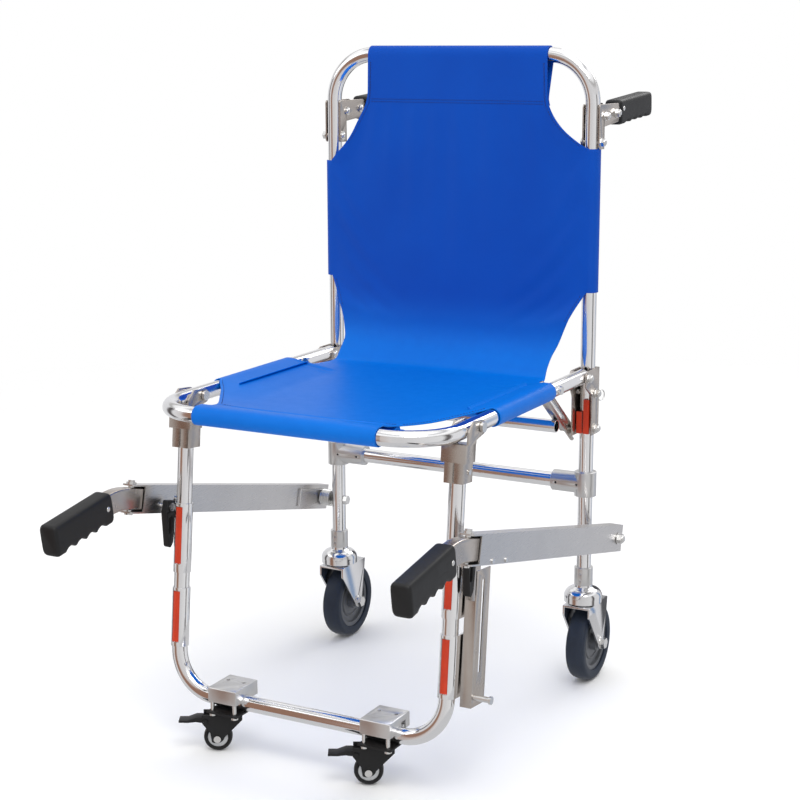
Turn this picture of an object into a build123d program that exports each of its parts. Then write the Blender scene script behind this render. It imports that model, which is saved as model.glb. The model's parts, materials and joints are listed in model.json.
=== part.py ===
"""Folding stair chair, in millimetres.

The chair faces -Y and stands on Z = 0, with X = 0 as its middle plane. The two
back posts stand at Y = 0. The front leg frame leans, so its parts are built on
LEG, a plane whose Z runs up the leg. The carrying beams slope, so theirs are
built on BEAM, whose -Y runs forward along the beam.
"""
from math import cos, hypot, radians, sin
import os

from build123d import *

os.makedirs("parts", exist_ok=True)

# ---------------------------------------------------------------- driving dimensions
HALF_WIDTH = 215.0          # post centre from the middle plane
BACK_HEIGHT = 950.0         # centre line of the top bar
SEAT_HEIGHT = 485.0         # centre line of the seat frame
SEAT_FRONT = -502.0         # centre line of the seat frame's front bar
TUBE_D = 22.0               # every main frame tube
TUBE_WALL = 1.6
REAR_WHEEL_D = 120.0
FRONT_WHEEL_D = 40.0
LEG_HALF = 211.0            # leg centre from the middle plane
LEG_LEAN = 5.84             # degrees, the foot is ahead of the top
BEAM_HALF = 258.0           # carrying beam centre from the middle plane
BEAM_SLOPE = 13.1           # degrees, the front end is higher

# clearances
SNUG = 0.05                 # between pieces fixed to each other
RUN = 0.06                  # radial, round a pin that turns
GAP = 0.5                   # between faces that move past each other

# derived places
TUBE_R = TUBE_D / 2
BORE_R = TUBE_R - TUBE_WALL
HINGE = (-30.0, SEAT_HEIGHT)               # seat hinge, as (Y, Z)
LEG_PIVOT = (-394.0, SEAT_HEIGHT + 1)      # leg hinge on the seat
LEG_OFFSET = 26.0                          # leg axis ahead of its hinge
BEAM_PIVOT_Z = 238.5
SIDES = (("left", -1), ("right", 1))

lean, slope = radians(LEG_LEAN), radians(BEAM_SLOPE)
LEG = Plane(
    origin=(0, LEG_PIVOT[0] - LEG_OFFSET * cos(lean), LEG_PIVOT[1] + LEG_OFFSET * sin(lean)),
    x_dir=(1, 0, 0), z_dir=(0, sin(lean), cos(lean)))
BEAM = Plane(origin=(0, 0, BEAM_PIVOT_Z), x_dir=(1, 0, 0), z_dir=(0, sin(slope), cos(slope)))


def save(piece, name):
    """Label a finished piece and write it out."""
    piece.part.label = name
    export_step(piece.part, f"parts/{name}.step")


def rod(radius, length, at, axis="Z", hollow=0.0, mode=Mode.ADD):
    """A round bar or bush of the given length, centred at a point of the workplane."""
    turn = {"X": (0, 90, 0), "Y": (90, 0, 0), "Z": (0, 0, 0)}[axis]
    with Locations(Location(at, turn)):
        Cylinder(radius, length, mode=mode)
        if hollow:
            Cylinder(hollow, length, mode=Mode.SUBTRACT)


def block(x, y, z, mode=Mode.ADD):
    """A box given by its low and high limits along each axis of the workplane."""
    with Locations(((x[0] + x[1]) / 2, (y[0] + y[1]) / 2, (z[0] + z[1]) / 2)):
        Box(x[1] - x[0], y[1] - y[0], z[1] - z[0], mode=mode)


def hex_head(x, y, z, across, height, side):
    """A hexagon head or nut on an X axis bolt, standing out from x towards side."""
    base = Plane(origin=(x, y, z), x_dir=(0, 1, 0), z_dir=(side, 0, 0))
    with BuildSketch(base, mode=Mode.PRIVATE) as hexagon:
        RegularPolygon(across / 2, 6, major_radius=False)
    extrude(hexagon.sketch, amount=height)


def span(side, low, high):
    """Limits along X on one side of the chair, given as distances from the middle."""
    return tuple(sorted((side * low, side * high)))


# ---------------------------------------------------------------- back frame
POST_FOOT = 160.0
TOP_BEND = 70.0
FITTING_Z = 317.5           # rear cross tube
FITTING_R = 16.5
HINGE_BOLT_R = 4.0
POST_BOLTS_Z = (457.0, 404.0)
BRACKET_T = 2.0
BRACKET_IN = TUBE_R + GAP               # half the space between the bracket's cheeks
BRACKET_OUT = BRACKET_IN + BRACKET_T
BEAM_BOLT_R = 5.0
HANDLE_Z = 866.0
HANDLE_Y = 58.0
HANDLE_POST_BOLT = (0.0, HANDLE_Z - 40)
HANDLE_BOLTS = (HANDLE_POST_BOLT, (15.6, HANDLE_Z - 3), (HANDLE_Y, HANDLE_Z))


def back_tube():
    with BuildPart() as tube:
        with BuildLine():
            FilletPolyline(
                (-HALF_WIDTH, 0, POST_FOOT), (-HALF_WIDTH, 0, BACK_HEIGHT),
                (HALF_WIDTH, 0, BACK_HEIGHT), (HALF_WIDTH, 0, POST_FOOT), radius=TOP_BEND)
        with BuildSketch(Plane.XY.offset(POST_FOOT)) as wall:
            with Locations((-HALF_WIDTH, 0)):
                Circle(TUBE_R)
                Circle(BORE_R, mode=Mode.SUBTRACT)
        sweep()
        for _, side in SIDES:
            for y, z in [(0, z) for z in POST_BOLTS_Z] + [HANDLE_POST_BOLT]:
                rod(HINGE_BOLT_R + SNUG, 30, (side * HALF_WIDTH, y, z), "X", mode=Mode.SUBTRACT)
            rod(BEAM_BOLT_R + SNUG, 30, (side * HALF_WIDTH, 0, BEAM_PIVOT_Z), "X",
                mode=Mode.SUBTRACT)
    save(tube, "back_tube")


def t_fittings():
    cup_end = HALF_WIDTH - 51
    with BuildPart() as fittings:
        for _, side in SIDES:
            rod(FITTING_R, 37, (side * HALF_WIDTH, 0, FITTING_Z))
            rod(FITTING_R - 0.5, 51, (side * (cup_end + 25.5), 0, FITTING_Z), "X")
        for _, side in SIDES:
            rod(TUBE_R + SNUG, 40, (side * HALF_WIDTH, 0, FITTING_Z), mode=Mode.SUBTRACT)
            rod(TUBE_R + SNUG, 36, (side * (cup_end + 18), 0, FITTING_Z), "X", mode=Mode.SUBTRACT)
            for x in (HALF_WIDTH - 8, HALF_WIDTH - 42):
                rod(1.8, 20, (side * x, -FITTING_R, FITTING_Z), "Y", mode=Mode.SUBTRACT)
    save(fittings, "cross_tube_fittings")


def rear_cross_tube():
    length = 2 * (HALF_WIDTH - TUBE_R - 6)
    with BuildPart() as tube:
        rod(TUBE_R, length, (0, 0, FITTING_Z), "X", hollow=BORE_R)
        for _, side in SIDES:
            rod(1.8, 30, (side * (HALF_WIDTH - 42), -TUBE_R, FITTING_Z), "Y", mode=Mode.SUBTRACT)
    save(tube, "rear_cross_tube")


def hinge_brackets():
    """U brackets that wrap each post from behind and carry the seat hinge."""
    low, high = POST_BOLTS_Z[1] - 9, SEAT_HEIGHT + 10
    back = TUBE_R + GAP
    with BuildPart() as brackets:
        for _, side in SIDES:
            for cheek, front in ((-1, -28), (1, -13)):
                x = side * (HALF_WIDTH + cheek * (BRACKET_IN + BRACKET_T / 2))
                with BuildSketch(Plane.YZ.offset(x)) as plate:
                    with BuildLine():
                        Polyline(
                            (back + BRACKET_T, low), (front, low), (front, high - 40),
                            (-38, high - 24), (-38, high), (back + BRACKET_T, high), close=True)
                    make_face()
                    fillet(plate.vertices().group_by(Axis.X)[0], 8)
                extrude(amount=BRACKET_T / 2, both=True)
            block(span(side, HALF_WIDTH - BRACKET_OUT, HALF_WIDTH + BRACKET_OUT),
                  (back, back + BRACKET_T), (low, high))
        for _, side in SIDES:
            for y, z in [(0, z) for z in POST_BOLTS_Z] + [HINGE]:
                rod(HINGE_BOLT_R + SNUG, 60, (side * HALF_WIDTH, y, z), "X", mode=Mode.SUBTRACT)
        # studs welded on the inner cheeks, which the lock braces catch
        for _, side in SIDES:
            inner = HALF_WIDTH - BRACKET_OUT
            rod(STUD_R, 8, (side * (inner - 3), *LOCK_STUD), "X")
            rod(STUD_R + 2, 1.2, (side * (inner - 7.6), *LOCK_STUD), "X")
    save(brackets, "seat_hinge_brackets")


def frame_bolts():
    """Alike bolts through the posts and brackets: low head inside, washer and nut outside."""
    with BuildPart() as bolts:
        for _, side in SIDES:
            inner, outer = side * (HALF_WIDTH - BRACKET_OUT), side * (HALF_WIDTH + BRACKET_OUT)
            for y, z in [(0, z) for z in POST_BOLTS_Z] + [HINGE] + list(HANDLE_BOLTS):
                rod(HINGE_BOLT_R, 2 * BRACKET_OUT, (side * HALF_WIDTH, y, z), "X")
                rod(6.5, 1.7, (inner - side * 0.85, y, z), "X")
                rod(7, 1.2, (outer + side * 0.6, y, z), "X")
                hex_head(outer + side * 1.2, y, z, 11, 4.5, side)
    save(bolts, "frame_bolts")


def hinge_liners():
    """Red wear strips in the front of each hinge bracket."""
    with BuildPart() as liners:
        for _, side in SIDES:
            for x, z_top in ((-6.0, 430), (4.8, 449)):
                centre = side * HALF_WIDTH + x
                block((centre - 4.2, centre + 4.2), (-15.5, -12.2), (397, z_top))
    save(liners, "hinge_wear_strips")


def rear_handle_brackets():
    """U brackets that hug each post from behind and hold the folding rear handles."""
    back = TUBE_R + GAP
    low, high = HANDLE_Z - 50, HANDLE_Z + 14
    with BuildPart() as brackets:
        for _, side in SIDES:
            for cheek in (-1, 1):
                x = side * HALF_WIDTH + cheek * (BRACKET_IN + BRACKET_T / 2)
                with BuildSketch(Plane.YZ.offset(x)) as plate:
                    with BuildLine():
                        Polyline(
                            (-6, low), (back + BRACKET_T, low), (back + BRACKET_T, HANDLE_Z - 18),
                            (HANDLE_Y + 12, HANDLE_Z - 13), (HANDLE_Y + 12, high), (-6, high),
                            close=True)
                    make_face()
                    fillet(plate.vertices().group_by(Axis.X)[0], 4)
                    fillet(plate.vertices().group_by(Axis.X)[-1], 6)
                extrude(amount=BRACKET_T / 2, both=True)
            block(span(side, HALF_WIDTH - BRACKET_OUT, HALF_WIDTH + BRACKET_OUT),
                  (back, back + BRACKET_T), (low, HANDLE_Z - 24))
            for y, z in HANDLE_BOLTS:
                rod(HINGE_BOLT_R + SNUG, 60, (side * HALF_WIDTH, y, z), "X", mode=Mode.SUBTRACT)
    save(brackets, "rear_handle_brackets")


# ---------------------------------------------------------------- rear handles
GRIP_TILT = radians(4)


def rear_handles():
    """Flat steel arms with moulded grips, one each side, hinged behind the posts."""
    turn = Plane(origin=(0, HANDLE_Y, HANDLE_Z), x_dir=(1, 0, 0),
                 z_dir=(0, -sin(GRIP_TILT), cos(GRIP_TILT)))
    for name, side in SIDES:
        x = side * HALF_WIDTH
        with BuildPart(turn) as arm:
            block((x - 9, x + 9), (-14, 120), (-11, 11))
            fillet(arm.edges().filter_by(Axis.X), 5)
            rod(HINGE_BOLT_R + RUN, 30, (x, 0, 0), "X", mode=Mode.SUBTRACT)
            rod(2.5 + SNUG, 30, (x, 32, 3), "X", mode=Mode.SUBTRACT)
        save(arm, f"rear_handle_arm_{name}")
        with BuildPart(turn) as grip:
            with BuildSketch(turn * Plane(origin=(x, 21, -2), x_dir=(1, 0, 0), z_dir=(0, 1, 0))):
                RectangleRounded(27, 36, 7)
            extrude(amount=133)
            for notch in range(4):
                rod(18, 40, (x, 54 + notch * 24, -35.5), "X", mode=Mode.SUBTRACT)
            fillet(grip.faces().sort_by(Axis.Y)[-1].edges(), 3)
            block((x - 9 - SNUG, x + 9 + SNUG), (-20, 120 + SNUG), (-11 - SNUG, 11 + SNUG),
                  mode=Mode.SUBTRACT)
            rod(2.5, 29, (x, 32, 3), "X", mode=Mode.SUBTRACT)
            rod(2.5, 29, (x, 32, 3), "X")
        save(grip, f"rear_grip_{name}")


# ---------------------------------------------------------------- rear casters
HEAD_LOW = 130.0            # underside of the swivel head
FORK_PLATE_T = 3.0
REAR_TRAIL = 25.0
REAR_AXLE_Z = REAR_WHEEL_D / 2
REAR_TYRE_W = 30.0
KING_R = 5.0
REAR_AXLE_R = 5.0


def caster_sleeves():
    with BuildPart() as sleeves:
        for _, side in SIDES:
            rod(14, 27, (side * HALF_WIDTH, 0, 173), hollow=TUBE_R + SNUG)
            for z in (167, 178):
                rod(1.8, 10, (side * HALF_WIDTH, -13, z), "Y", mode=Mode.SUBTRACT)
    save(sleeves, "caster_sleeves")


def caster_heads():
    """Stem, domed raceway and king pin of each rear caster, turned as one."""
    plate_low = HEAD_LOW - GAP - FORK_PLATE_T
    with BuildPart() as head:
        with BuildSketch(Plane.XZ):
            with BuildLine():
                Polyline(
                    (0, 205), (BORE_R - SNUG, 205), (BORE_R - SNUG, 159.5), (14, 159.5),
                    (14, 156), (18, 154))
                ThreePointArc((18, 154), (26.5, 148.5), (29, 139))
                Polyline(
                    (29, 139), (29, 133), (24, HEAD_LOW), (KING_R, HEAD_LOW),
                    (KING_R, plate_low - GAP), (8.5, plate_low - GAP),
                    (8.5, plate_low - GAP - 2.2), (0, plate_low - GAP - 2.2), (0, 205))
            make_face()
        revolve(axis=Axis.Z)
    with BuildPart() as pair:
        with Locations((HALF_WIDTH, 0, 0), (-HALF_WIDTH, 0, 0)):
            add(head.part)
    save(pair, "rear_caster_heads")


def rear_casters():
    """Stamped fork, axle bolt, wheel centre and tyre of each rear caster."""
    top = HEAD_LOW - GAP
    cheek_in = REAR_TYRE_W / 2 + 4
    for name, side in SIDES:
        x = side * HALF_WIDTH
        with BuildPart() as fork:
            for cheek in (-1, 1):
                with BuildSketch(Plane.YZ.offset(x + cheek * (cheek_in + FORK_PLATE_T / 2))) as leaf:
                    with BuildLine():
                        l1 = Line((-27, top), (46, top))
                        l2 = Line((46, top), (REAR_TRAIL + 12, REAR_AXLE_Z))
                        a1 = RadiusArc((REAR_TRAIL + 12, REAR_AXLE_Z), (REAR_TRAIL - 12, REAR_AXLE_Z), 12.4)
                        l3 = Line((REAR_TRAIL - 12, REAR_AXLE_Z), (-27, top - 16))
                        l4 = Line((-27, top - 16), (-27, top))
                    make_face()
                extrude(amount=FORK_PLATE_T / 2, both=True)
            block((x - cheek_in, x + cheek_in), (-27, 46), (top - FORK_PLATE_T, top))
            rod(KING_R + RUN, 20, (x, 0, top), mode=Mode.SUBTRACT)
            rod(REAR_AXLE_R + SNUG, 80, (x, REAR_TRAIL, REAR_AXLE_Z), "X", mode=Mode.SUBTRACT)
        save(fork, f"rear_fork_{name}")
        outer = cheek_in + FORK_PLATE_T
        with BuildPart() as axle:
            rod(REAR_AXLE_R, 2 * outer, (x, REAR_TRAIL, REAR_AXLE_Z), "X")
            for end in (-1, 1):
                rod(9, 1, (x + end * (outer + 0.5), REAR_TRAIL, REAR_AXLE_Z), "X")
                hex_head(x + end * (outer + 1), REAR_TRAIL, REAR_AXLE_Z, 15, 6, end)
        save(axle, f"rear_axle_{name}")
        wheel = Plane(origin=(x, REAR_TRAIL, REAR_AXLE_Z), x_dir=(0, 1, 0), z_dir=(1, 0, 0))
        with BuildPart(wheel) as hub:
            Cylinder(44, 22)
            with Locations((0, 0, 11), (0, 0, -11)):
                Cylinder(37, 9, mode=Mode.SUBTRACT)
            Cylinder(13, 34)
            with Locations((0, 0, 6.5), (0, 0, -6.5)):
                Torus(26, 2)
            Cylinder(REAR_AXLE_R + RUN, 40, mode=Mode.SUBTRACT)
        save(hub, f"rear_hub_{name}")
        with BuildPart(wheel) as tyre:
            Cylinder(REAR_WHEEL_D / 2, REAR_TYRE_W)
            fillet(tyre.edges().filter_by(GeomType.CIRCLE), 6)
            Cylinder(44 + SNUG, REAR_TYRE_W + 2, mode=Mode.SUBTRACT)
        save(tyre, f"rear_tyre_{name}")


# ---------------------------------------------------------------- seat frame
SEAT_BEND = 70.0
LEG_BOLT_R = 4.0
BRACE_PIVOT = (-130.0, SEAT_HEIGHT)
BRACE_BOLT_R = 3.0


def seat_frame():
    rear = HINGE[0] + 9
    with BuildPart() as tube:
        with BuildLine():
            FilletPolyline(
                (-HALF_WIDTH, rear, SEAT_HEIGHT), (-HALF_WIDTH, SEAT_FRONT, SEAT_HEIGHT),
                (HALF_WIDTH, SEAT_FRONT, SEAT_HEIGHT), (HALF_WIDTH, rear, SEAT_HEIGHT),
                radius=SEAT_BEND)
        with BuildSketch(Plane.XZ.offset(-rear)):
            with Locations((-HALF_WIDTH, SEAT_HEIGHT)):
                Circle(TUBE_R)
                Circle(BORE_R, mode=Mode.SUBTRACT)
        sweep()
        for _, side in SIDES:
            x = side * HALF_WIDTH
            rod(HINGE_BOLT_R + RUN, 30, (x, *HINGE), "X", mode=Mode.SUBTRACT)
            rod(LEG_BOLT_R + SNUG, 30, (x, *LEG_PIVOT), "X", mode=Mode.SUBTRACT)
            rod(BRACE_BOLT_R + SNUG, 30, (x, *BRACE_PIVOT), "X", mode=Mode.SUBTRACT)
    save(tube, "seat_tube")


def seat_bolts():
    """The bolts that the legs and the lock braces hang from, fixed in the seat tube."""
    ear_out = TUBE_R + GAP + EAR_T + GAP
    with BuildPart() as bolts:
        for _, side in SIDES:
            x = side * HALF_WIDTH
            rod(LEG_BOLT_R, 2 * ear_out, (x, *LEG_PIVOT), "X")
            for end in (-1, 1):
                rod(7, 4, (x + end * (ear_out + 2), *LEG_PIVOT), "X")
            inner, outer = BRACE_X - BRACE_T - GAP, HALF_WIDTH + TUBE_R
            spacer = HALF_WIDTH - TUBE_R - BRACE_X - GAP
            rod(BRACE_BOLT_R, outer - inner, (side * (inner + outer) / 2, *BRACE_PIVOT), "X")
            rod(6, 3.5, (side * (outer + 1.75), *BRACE_PIVOT), "X")
            rod(6, 3, (side * (inner - 1.5), *BRACE_PIVOT), "X")
            rod(5, spacer, (side * (BRACE_X + GAP + spacer / 2), *BRACE_PIVOT), "X")
    save(bolts, "seat_bolts")


# ---------------------------------------------------------------- seat lock
BRACE_T = 2.5
LOCK_STUD = (-21.0, 401.0)
STUD_R = 3.5
BRACE_W = 20.0
LOCK_BAR_D = 19.0
brace_run = (LOCK_STUD[0] - BRACE_PIVOT[0], LOCK_STUD[1] - BRACE_PIVOT[1])
BRACE_L = hypot(*brace_run)
BRACE_X = HALF_WIDTH - BRACKET_OUT - 2.4       # outer face of the brace


def brace_plane(side):
    """Plane on a brace's outer face, X along it from its pivot to the stud."""
    along = Vector(0, brace_run[0] / BRACE_L, brace_run[1] / BRACE_L)
    return Plane(origin=(side * BRACE_X, *BRACE_PIVOT), x_dir=along, z_dir=(-side, 0, 0))


def lock_braces():
    """Slotted braces from the seat tubes down to the studs, with return flanges."""
    with BuildPart() as braces:
        for _, side in SIDES:
            face = brace_plane(side)
            up = 1 if face.y_dir.Z > 0 else -1
            with BuildSketch(face) as plate:
                with Locations((BRACE_L / 2 + 4, 0)):
                    Rectangle(BRACE_L + 28, BRACE_W)
                fillet(plate.vertices(), 7)
                Circle(BRACE_BOLT_R + RUN, mode=Mode.SUBTRACT)
                with Locations((BRACE_L / 2 - 4, up * 1.0)):
                    SlotOverall(62, 8, mode=Mode.SUBTRACT)
                with Locations((BRACE_L, 0)):
                    Circle(STUD_R + 0.4, mode=Mode.SUBTRACT)
                with Locations((BRACE_L + 10, 0)):
                    Rectangle(20, 2 * STUD_R + 0.8, mode=Mode.SUBTRACT)
            extrude(amount=BRACE_T)
            with BuildSketch(face):
                with Locations((BRACE_L / 2 - 2, -up * (BRACE_W / 2 - 1))):
                    Rectangle(BRACE_L - 34, 2)
            extrude(amount=9)
    save(braces, "lock_braces")


def lock_bar():
    """Cross tube that joins the two braces, which is pulled up to unlock the seat."""
    point = brace_plane(1) * Pos(BRACE_L * 0.60, 0, 0)
    y, z = point.position.Y, point.position.Z
    low_y, low_z = brace_run[1] / BRACE_L, -brace_run[0] / BRACE_L
    drop = BRACE_W / 2 + LOCK_BAR_D / 2 + 0.1
    with BuildPart() as bar:
        rod(LOCK_BAR_D / 2, 2 * (BRACE_X - 0.2), (0, y + low_y * drop, z + low_z * drop), "X",
            hollow=LOCK_BAR_D / 2 - 1.4)
    save(bar, "lock_bar")


# ---------------------------------------------------------------- front leg frame
EAR_T = 2.5
FOOT_BEND = 62.0
BAR_Z = 73.0                # centre line of the foot bar above the floor
BAR_DOWN = (LEG.origin.Z - BAR_Z) / cos(lean)      # foot bar below the leg hinge, along the leg
CLAMP_T = 1.6
CHANNEL_IN = 15.0           # channel's inner face, outboard of the leg axis
CHANNEL_OUT = 31.0
CHANNEL_Y = (8.0, 48.0)     # behind the leg axis
CHANNEL_Z = (-366.0, -184.0)
CHANNEL_T = 1.8
SLOT_Y = 28.0
SLOT_Z = (-322.0, -198.0)
LATCH_ROOM_Z = -224.0       # above this the channel is open at the front, for the latch
STOW_PIN = (15.0, -352.0)
RIVET_R = 2.4


def leg_frame():
    top = -30.0
    with BuildPart(LEG) as tube:
        with BuildLine(LEG):
            FilletPolyline(
                (-LEG_HALF, 0, top), (-LEG_HALF, 0, -BAR_DOWN),
                (LEG_HALF, 0, -BAR_DOWN), (LEG_HALF, 0, top), radius=FOOT_BEND)
        with BuildSketch(LEG.offset(top)):
            with Locations((-LEG_HALF, 0)):
                Circle(TUBE_R)
                Circle(BORE_R, mode=Mode.SUBTRACT)
        sweep()
    save(tube, "leg_tube")


def leg_brackets():
    """Folded steel bracket on each leg's top: ears round the seat tube, box and split sleeve."""
    ear = TUBE_R + GAP
    with BuildPart(LEG) as brackets:
        for _, side in SIDES:
            x = side * HALF_WIDTH
            leg_x = side * LEG_HALF
            block((leg_x - 17.5, leg_x + 17.5), (-17, 12.5), (-44, -20))
            rod(TUBE_R + SNUG, 40, (leg_x, 0, -50), mode=Mode.SUBTRACT)
            block((leg_x - 15, leg_x + 15), (-14.5, 10), (-32, -29.9), mode=Mode.SUBTRACT)
            rod(TUBE_R + 2.4, 27, (leg_x, 0, -57.5), hollow=TUBE_R + SNUG)
            block((leg_x - 13.4, leg_x + 13.4), (-14, -7), (-71, -44))
            block((leg_x + 8, leg_x + 13.4), (-8, 15), (-71, -44))
            block((leg_x - 13.4, leg_x - 8), (-8, 15), (-71, -44))
            rod(TUBE_R + SNUG, 30, (leg_x, 0, -57), mode=Mode.SUBTRACT)
            block((leg_x - 1, leg_x + 1), (-20, -9), (-72, -44), mode=Mode.SUBTRACT)
            for cheek in (-1, 1):
                lug = x + cheek * (ear + EAR_T / 2)
                with BuildSketch(LEG * Plane(origin=(lug, 0, 0), x_dir=(0, 1, 0), z_dir=(1, 0, 0))) as plate:
                    with BuildLine():
                        Polyline((-11, -20.5), (-11, -4), (2, 9), (LEG_OFFSET + 9, 9),
                                 (LEG_OFFSET + 9, -9), (12.5, -16), (12.5, -20.5), close=True)
                    make_face()
                    fillet(plate.vertices().group_by(Axis.Y)[-1], 6)
                extrude(amount=EAR_T / 2, both=True)
            rod(LEG_BOLT_R + RUN, 60, (x, LEG_OFFSET, 0), "X", mode=Mode.SUBTRACT)
    save(brackets, "leg_brackets")


def leg_clamps():
    """Rolled plates round each leg: a short upper one and a long lower one."""
    with BuildPart(LEG) as clamps:
        for _, side in SIDES:
            x = side * LEG_HALF
            for low, high, window in ((-248, -150, 82), (-354, -270, 74)):
                rod(TUBE_R + SNUG + CLAMP_T, high - low, (x, 0, (low + high) / 2),
                    hollow=TUBE_R + SNUG)
                block(span(side, LEG_HALF + TUBE_R - CLAMP_T, LEG_HALF + TUBE_R + CLAMP_T),
                      (2, 30), (low, high))
                rod(TUBE_R + SNUG, high - low + 2, (x, 0, (low + high) / 2), mode=Mode.SUBTRACT)
                block((x - 5.5, x + 5.5), (-20, -8), (high - 4 - window, high - 4), mode=Mode.SUBTRACT)
    save(clamps, "leg_clamps")


def leg_liners():
    """Red wear strips that show through the front slots of the clamps."""
    with BuildPart(LEG) as liners:
        for _, side in SIDES:
            x = side * LEG_HALF
            for high, window in ((-150, 82), (-270, 74)):
                with BuildSketch(LEG.offset(high - 3 - window)):
                    with Locations((x, 0)):
                        Circle(TUBE_R + SNUG + 1.2)
                        Circle(TUBE_R + SNUG, mode=Mode.SUBTRACT)
                    with Locations((x, -TUBE_R)):
                        Rectangle(10.4, 6, mode=Mode.INTERSECT)
                extrude(amount=window - 2)
    save(liners, "leg_wear_strips")


def leg_channel():
    """Slotted U channel outboard of the +X leg, open to the rear."""
    x_low, x_high = CHANNEL_IN + LEG_HALF, CHANNEL_OUT + LEG_HALF
    with BuildPart(LEG) as channel:
        block((x_low, x_high), CHANNEL_Y, CHANNEL_Z)
        block((x_low + CHANNEL_T, x_high - CHANNEL_T),
              (CHANNEL_Y[0] + CHANNEL_T, CHANNEL_Y[1] + 1),
              (CHANNEL_Z[0] - 1, CHANNEL_Z[1] + 1), mode=Mode.SUBTRACT)
        block((x_low + CHANNEL_T, x_high - CHANNEL_T),
              (CHANNEL_Y[0] - 1, CHANNEL_Y[0] + CHANNEL_T + 1), (LATCH_ROOM_Z, CHANNEL_Z[1] + 1),
              mode=Mode.SUBTRACT)
        block((x_high - 3, x_high + 1), (SLOT_Y - 3.5, SLOT_Y + 3.5), SLOT_Z, mode=Mode.SUBTRACT)
        rod(4 + SNUG, 12, (x_high, *STOW_PIN), "X", mode=Mode.SUBTRACT)
    save(channel, "leg_channel")


def stow_pin():
    """Pin low on the channel that the folded beam rests against."""
    root = LEG_HALF + CHANNEL_OUT
    with BuildPart(LEG) as pin:
        rod(4, 28, (root + 12.2, *STOW_PIN), "X")
        rod(5.5, 3, (root + 24.7, *STOW_PIN), "X")
    save(pin, "stow_pin")


def leg_rivets():
    with BuildPart(LEG) as rivets:
        for _, side in SIDES:
            out = LEG_HALF + TUBE_R + CLAMP_T
            for y, z in ((20, -226), (20, -290), (20, -340)):
                rod(RIVET_R, 0.9, (side * (out + 0.45), y, z), "X")
            rod(3.4, 2, (side * (LEG_HALF + 14.4), 4, -57), "X")
    save(rivets, "leg_rivets")


# ---------------------------------------------------------------- caster blocks
BLOCK_X = (98.0, 143.0)
BLOCK_Y = (-487.0, -431.0)
BLOCK_Z = (75.5, 96.0)
BAR_Y = LEG.origin.Y - BAR_DOWN * sin(lean)
CASTER_X = sum(BLOCK_X) / 2
PLATE_Z = (58.6, 61.4)
HOLE_SPACING = 26.0
BLOCK_HOLE_R = 2.5
CASTER_BOLTS = (18.0, 21.0)


def caster_blocks():
    with BuildPart() as blocks:
        for _, side in SIDES:
            block(span(side, *BLOCK_X), BLOCK_Y, BLOCK_Z)
            for x in (-1, 1):
                rod(BLOCK_HOLE_R, 8.0, (side * CASTER_X + x * HOLE_SPACING / 2, BAR_Y + 12,
                                        BLOCK_Z[1] - 4), mode=Mode.SUBTRACT)
                for y in (-1, 1):
                    rod(3 + SNUG, 12, (side * CASTER_X + x * CASTER_BOLTS[0],
                                       BAR_Y + y * CASTER_BOLTS[1], BLOCK_Z[0]), mode=Mode.SUBTRACT)
            block(span(side, BLOCK_X[1] - 16, BLOCK_X[1] + 1), (BAR_Y + 8, BAR_Y + 20),
                  (BLOCK_Z[0] - 1, BLOCK_Z[1] - 8), mode=Mode.SUBTRACT)
        rod(TUBE_R + SNUG, 400, (0, BAR_Y, BAR_Z), "X", mode=Mode.SUBTRACT)
        chamfer(blocks.edges().filter_by(Axis.X).group_by(Axis.Z)[-1], 1)
    save(blocks, "caster_blocks")


def caster_bolts():
    """Four bolts up through each caster plate into its block."""
    with BuildPart() as bolts:
        for _, side in SIDES:
            for x in (-1, 1):
                for y in (-1, 1):
                    at = (side * CASTER_X + x * CASTER_BOLTS[0], BAR_Y + y * CASTER_BOLTS[1])
                    low = PLATE_Z[0] - 3.5
                    rod(3, BLOCK_Z[0] + 5 - low, (*at, (BLOCK_Z[0] + 5 + low) / 2))
                    rod(5, 3.5, (*at, low + 1.75))
    save(bolts, "caster_bolts")


# ---------------------------------------------------------------- front casters
FRONT_YAW = 62.0            # degrees, how far the front casters are turned at rest
FRONT_TRAIL = 20.0
FRONT_AXLE_Z = FRONT_WHEEL_D / 2
FRONT_TYRE_W = 15.0
FORK_TOP = 54.5


def caster_plates():
    with BuildPart() as plates:
        for _, side in SIDES:
            x = side * CASTER_X
            block((x - 25, x + 25), (BAR_Y - 27, BAR_Y + 27), PLATE_Z)
            for dx in (-1, 1):
                for dy in (-1, 1):
                    rod(3 + SNUG, 6, (x + dx * CASTER_BOLTS[0], BAR_Y + dy * CASTER_BOLTS[1], 60),
                        mode=Mode.SUBTRACT)
            rod(11, 3, (x, BAR_Y, PLATE_Z[0] - 1.5))
            rod(4, PLATE_Z[0] - 50, (x, BAR_Y, (PLATE_Z[0] + 50) / 2))
            rod(6.5, 2, (x, BAR_Y, 50.5))
    save(plates, "caster_plates")


PEDAL_PIVOT = (-36.5, 45.0)


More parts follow.
